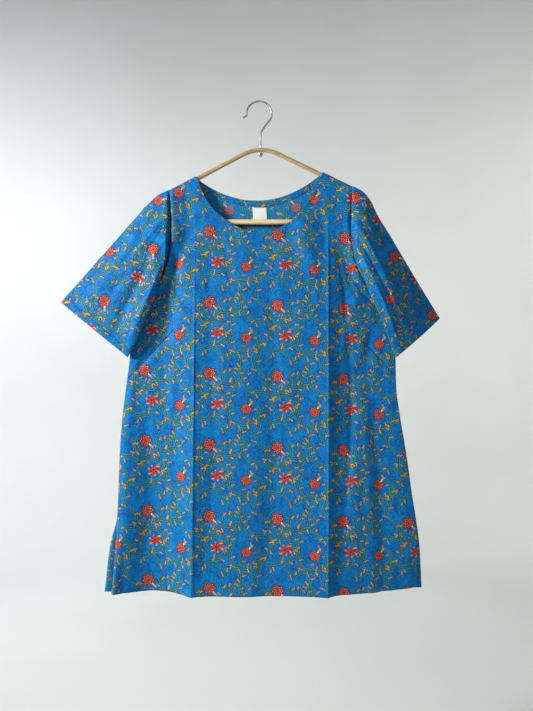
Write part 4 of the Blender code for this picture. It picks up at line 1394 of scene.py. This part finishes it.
half = LABEL_WIDTH / 2 / (RIGHT_NECK_X - LEFT_NECK_X)
across = np.broadcast_to(np.linspace(1.5 + half, 1.5 - half, 19), (21, 19))
down = np.linspace(0, 1, 21)[:, None]
curl = 0.25 * MM + 1.1 * MM * down**3 + 0.25 * MM * np.sin(9 * (across - 1.5) / half * 0.3 + 2) * down
points = inside_back(across, LABEL_TOP_DROP + LABEL_HEIGHT * down + 0 * across, COTTON + 0.6 * MM + curl)
u, v = flat_places(points, 0, 9)
label = make_sheet("label_tape_piece", points, np.stack((u, v), -1), (tape,), thickness=0.5 * MM)
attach(label, "root")
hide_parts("label")
print("facing and label done")

# %% [markdown]
# ## Stitches
#
# The machine stitches that hold the hems are about 3 mm long. Each one is a small bead of thread,
# laid along the cloth and pressed a little into it.

# %% Stitch rows
STITCH = 3.1 * MM


def walk(points, step):
    """Places and directions at even steps along a line of points."""
    gaps = np.linalg.norm(np.diff(points, axis=0), axis=1)
    run = np.concatenate(([0.0], np.cumsum(gaps)))
    stops = np.arange(step / 2, run[-1], step)
    places = np.stack([np.interp(stops, run, points[:, axis]) for axis in range(3)], -1)
    ahead = np.stack([np.interp(stops + 0.3 * step, run, points[:, axis]) for axis in range(3)], -1)
    return places, ahead - places


def stitch_rows(name, rows):
    """One piece with all the stitches of several rows of points."""
    shape = bmesh.new()
    for points in rows:
        for place, way in zip(*walk(points + (SHANK_X, 0, 0), STITCH)):
            if np.linalg.norm(way) < 1e-6:
                continue
            turn = Vector(way).to_track_quat("X", "Y").to_matrix().to_4x4()
            size = Matrix.Diagonal((2.1 * MM, 0.45 * MM, 0.45 * MM, 1))
            bmesh.ops.create_cube(shape, size=1, matrix=Matrix.Translation(place) @ turn @ size)
    mesh = bpy.data.meshes.new(name)
    shape.to_mesh(mesh)
    shape.free()
    mesh.materials.append(thread)
    made = bpy.data.objects.new(name, mesh)
    scene.collection.objects.link(made)
    rounding = made.modifiers.new("Round", "BEVEL")
    rounding.width = 0.12 * MM
    rounding.segments = 1
    rounding.limit_method = "NONE"
    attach(made, "root")
    return made


def on_panel(across, drop, is_front, out=0.12 * MM):
    points = panel_surface(np.asarray(across), np.asarray(drop), is_front)
    points[:, 1] += out * (-1 if is_front else 1)
    return points


for name, is_front in (("front", True), ("back", False)):
    width = np.linspace(0.02, 2.98, 400)
    hem = on_panel(width, hem_drop(width, is_front) - HEM_TURN + MM, is_front)
    inner = np.linspace(1.004, 1.996, 300)
    neck = on_panel(inner, top_drop(inner, is_front) + NECK_TURN - MM, is_front)
    rows = [hem, neck]
    for side in (-1, 1):
        drop = np.linspace(SLIT_TOP + 0.004, hem_drop(np.array(0.0 if side < 0 else 3.0), is_front), 80)
        limits = edge_x(-1, drop, is_front), edge_x(1, drop, is_front)
        crease = [smooth_at(column(CREASES, "drop"), column(CREASES, end), drop) for end in ("left", "right")]
        if side < 0:
            across = (SLIT_TURN - MM) / (crease[0] - limits[0])
        else:
            across = 3 - (SLIT_TURN - MM) / (limits[1] - crease[1])
        rows.append(on_panel(across, drop, is_front))
    stitch_rows(name + "_stitches", rows)
print("stitch rows done")

# %% [markdown]
# ## The hanger
#
# The rod is a round stick, steamed and bent: two arms from a rounded peak, turned down at the ends
# to hold the bar. A zinc wire is screwed through the peak, bent into a hook above it, and held by a
# small domed nut below.

# %% Hanger sizes
WIRE_RADIUS = 1.7 * MM
ROD_RADIUS = 4.0 * MM
BAR_RADIUS = 5.2 * MM
BAR_DROP = 0.2336
ROD_PEAK_DROP = 0.0945
ROD_END_X = 0.200


def rod_drop(x):
    if x < 0:
        return LEFT_ARM_DROP + LEFT_ARM_SLOPE * (-ARM_X - x)
    return RIGHT_ARM_DROP + RIGHT_ARM_SLOPE * (x - ARM_X)


def rounded_path(corners, steps=16):
    """A path of points through corners (x, drop, radius), each corner rounded to its radius."""
    points = [Vector((corners[0][0], 0, -corners[0][1]))]
    for before, corner, after in zip(corners, corners[1:], corners[2:]):
        here = Vector((corner[0], 0, -corner[1]))
        to_before = (Vector((before[0], 0, -before[1])) - here).normalized()
        to_after = (Vector((after[0], 0, -after[1])) - here).normalized()
        half = to_before.angle(to_after) / 2
        reach = corner[2] / math.tan(half)
        centre = here + (to_before + to_after).normalized() * (corner[2] / math.sin(half))
        start = (here + to_before * reach - centre).normalized()
        end = (here + to_after * reach - centre).normalized()
        for i in range(steps + 1):
            points.append(centre + start.slerp(end, i / steps) * corner[2])
    points.append(Vector((corners[-1][0], 0, -corners[-1][1])))
    return points


def stick(name, points, radius, finish, sides=8, kind="POLY"):
    """A round bar along a path, with filled ends."""
    curve = bpy.data.curves.new(name, "CURVE")
    curve.dimensions = "3D"
    curve.bevel_depth = radius
    curve.bevel_resolution = sides
    curve.use_fill_caps = True
    spline = curve.splines.new("POLY")
    spline.points.add(len(points) - 1)
    for target, point in zip(spline.points, points):
        target.co = (point[0] + SHANK_X, point[1], point[2], 1.0)
    curve.materials.append(finish)
    made = bpy.data.objects.new(name, curve)
    scene.collection.objects.link(made)
    return made


def softened(points, rounds):
    """The same path with its corners cut off again and again, its ends kept."""
    for _ in range(rounds):
        cut = [points[0]]
        for before, after in zip(points, points[1:]):
            cut += [before.lerp(after, 0.25), before.lerp(after, 0.75)]
        points = cut + [points[-1]]
    return points


# %% Rod and bar
peak = (LEFT_ARM_DROP - LEFT_ARM_SLOPE * ARM_X + RIGHT_ARM_DROP - RIGHT_ARM_SLOPE * ARM_X) / 2
rod_corners = (
    (-ROD_END_X, BAR_DROP + BAR_RADIUS, 0),
    (-ROD_END_X, rod_drop(-ROD_END_X), 0.013),
    (0.0, peak, 0.075),
    (ROD_END_X, rod_drop(ROD_END_X), 0.013),
    (ROD_END_X, BAR_DROP + BAR_RADIUS, 0),
)
rod = stick("bent_rod", rounded_path(rod_corners), ROD_RADIUS, cane)
half = ROD_END_X - ROD_RADIUS - 0.3 * MM
bar = stick("straight_bar", [Vector((-half, 0, -BAR_DROP)), Vector((half, 0, -BAR_DROP))], BAR_RADIUS, bar_wood)

# %% Hook and nut
ARC_RADIUS = 0.0245
centre = Vector((-SHANK_X, 0, WIRE_RADIUS - ARC_RADIUS))
arc = []
for step in range(41):
    angle = math.radians(mix(188, -28, step / 40))
    arc.append(centre + Vector((math.cos(angle), 0, math.sin(angle))) * ARC_RADIUS)
tip = [Vector((-0.0343, 0, -0.0306)), Vector((-0.0300, 0, -0.0277))]
bend = [Vector((x, 0, -drop)) for x, drop in ((0.0138, 0.0402), (0.0074, 0.0488), (0.0022, 0.0566))]
shank = [Vector((x, 0, -drop)) for x, drop in ((0.0004, 0.0630), (0.0, 0.0700))]
foot = [Vector((0, 0, -(ROD_PEAK_DROP + ROD_RADIUS)))]
hook = stick("wire_hook", softened(tip + arc + bend + shank + foot, 2), WIRE_RADIUS, zinc)

nut_top = ROD_PEAK_DROP + ROD_RADIUS + 0.9 * MM
nut_outline = (
    (0.0, 0.0), (4.4, 0.0), (4.85, 0.2), (5.0, 0.6), (5.0, 1.8), (4.85, 3.0), (4.4, 4.4),
    (3.6, 5.6), (2.6, 6.4), (1.4, 7.0), (0.0, 7.2),
)
shape = bmesh.new()
corners = [shape.verts.new((radius * MM, 0, -nut_top - down * MM)) for radius, down in nut_outline]
edges = [shape.edges.new(pair) for pair in zip(corners, corners[1:])]
bmesh.ops.spin(
    shape, geom=corners + edges, axis=(0, 0, 1), angle=2 * math.pi, steps=40, use_merge=True
)
bmesh.ops.remove_doubles(shape, verts=shape.verts, dist=0.01 * MM)
bmesh.ops.recalc_face_normals(shape, faces=shape.faces)
bmesh.ops.translate(shape, verts=shape.verts, vec=(SHANK_X, 0, 0))
for face in shape.faces:
    face.smooth = True
mesh = bpy.data.meshes.new("domed_nut")
shape.to_mesh(mesh)
shape.free()
mesh.materials.append(zinc)
nut = bpy.data.objects.new("domed_nut", mesh)
scene.collection.objects.link(nut)

for piece, node, name in (
    (rod, "hanger_rod", "wood"),
    (bar, "hanger_bar", "bar_wood"),
    (hook, "hanger_hook", "zinc"),
    (nut, "hanger_nut", "zinc"),
):
    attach(piece, "root")
    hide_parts(node)
print("hanger done")
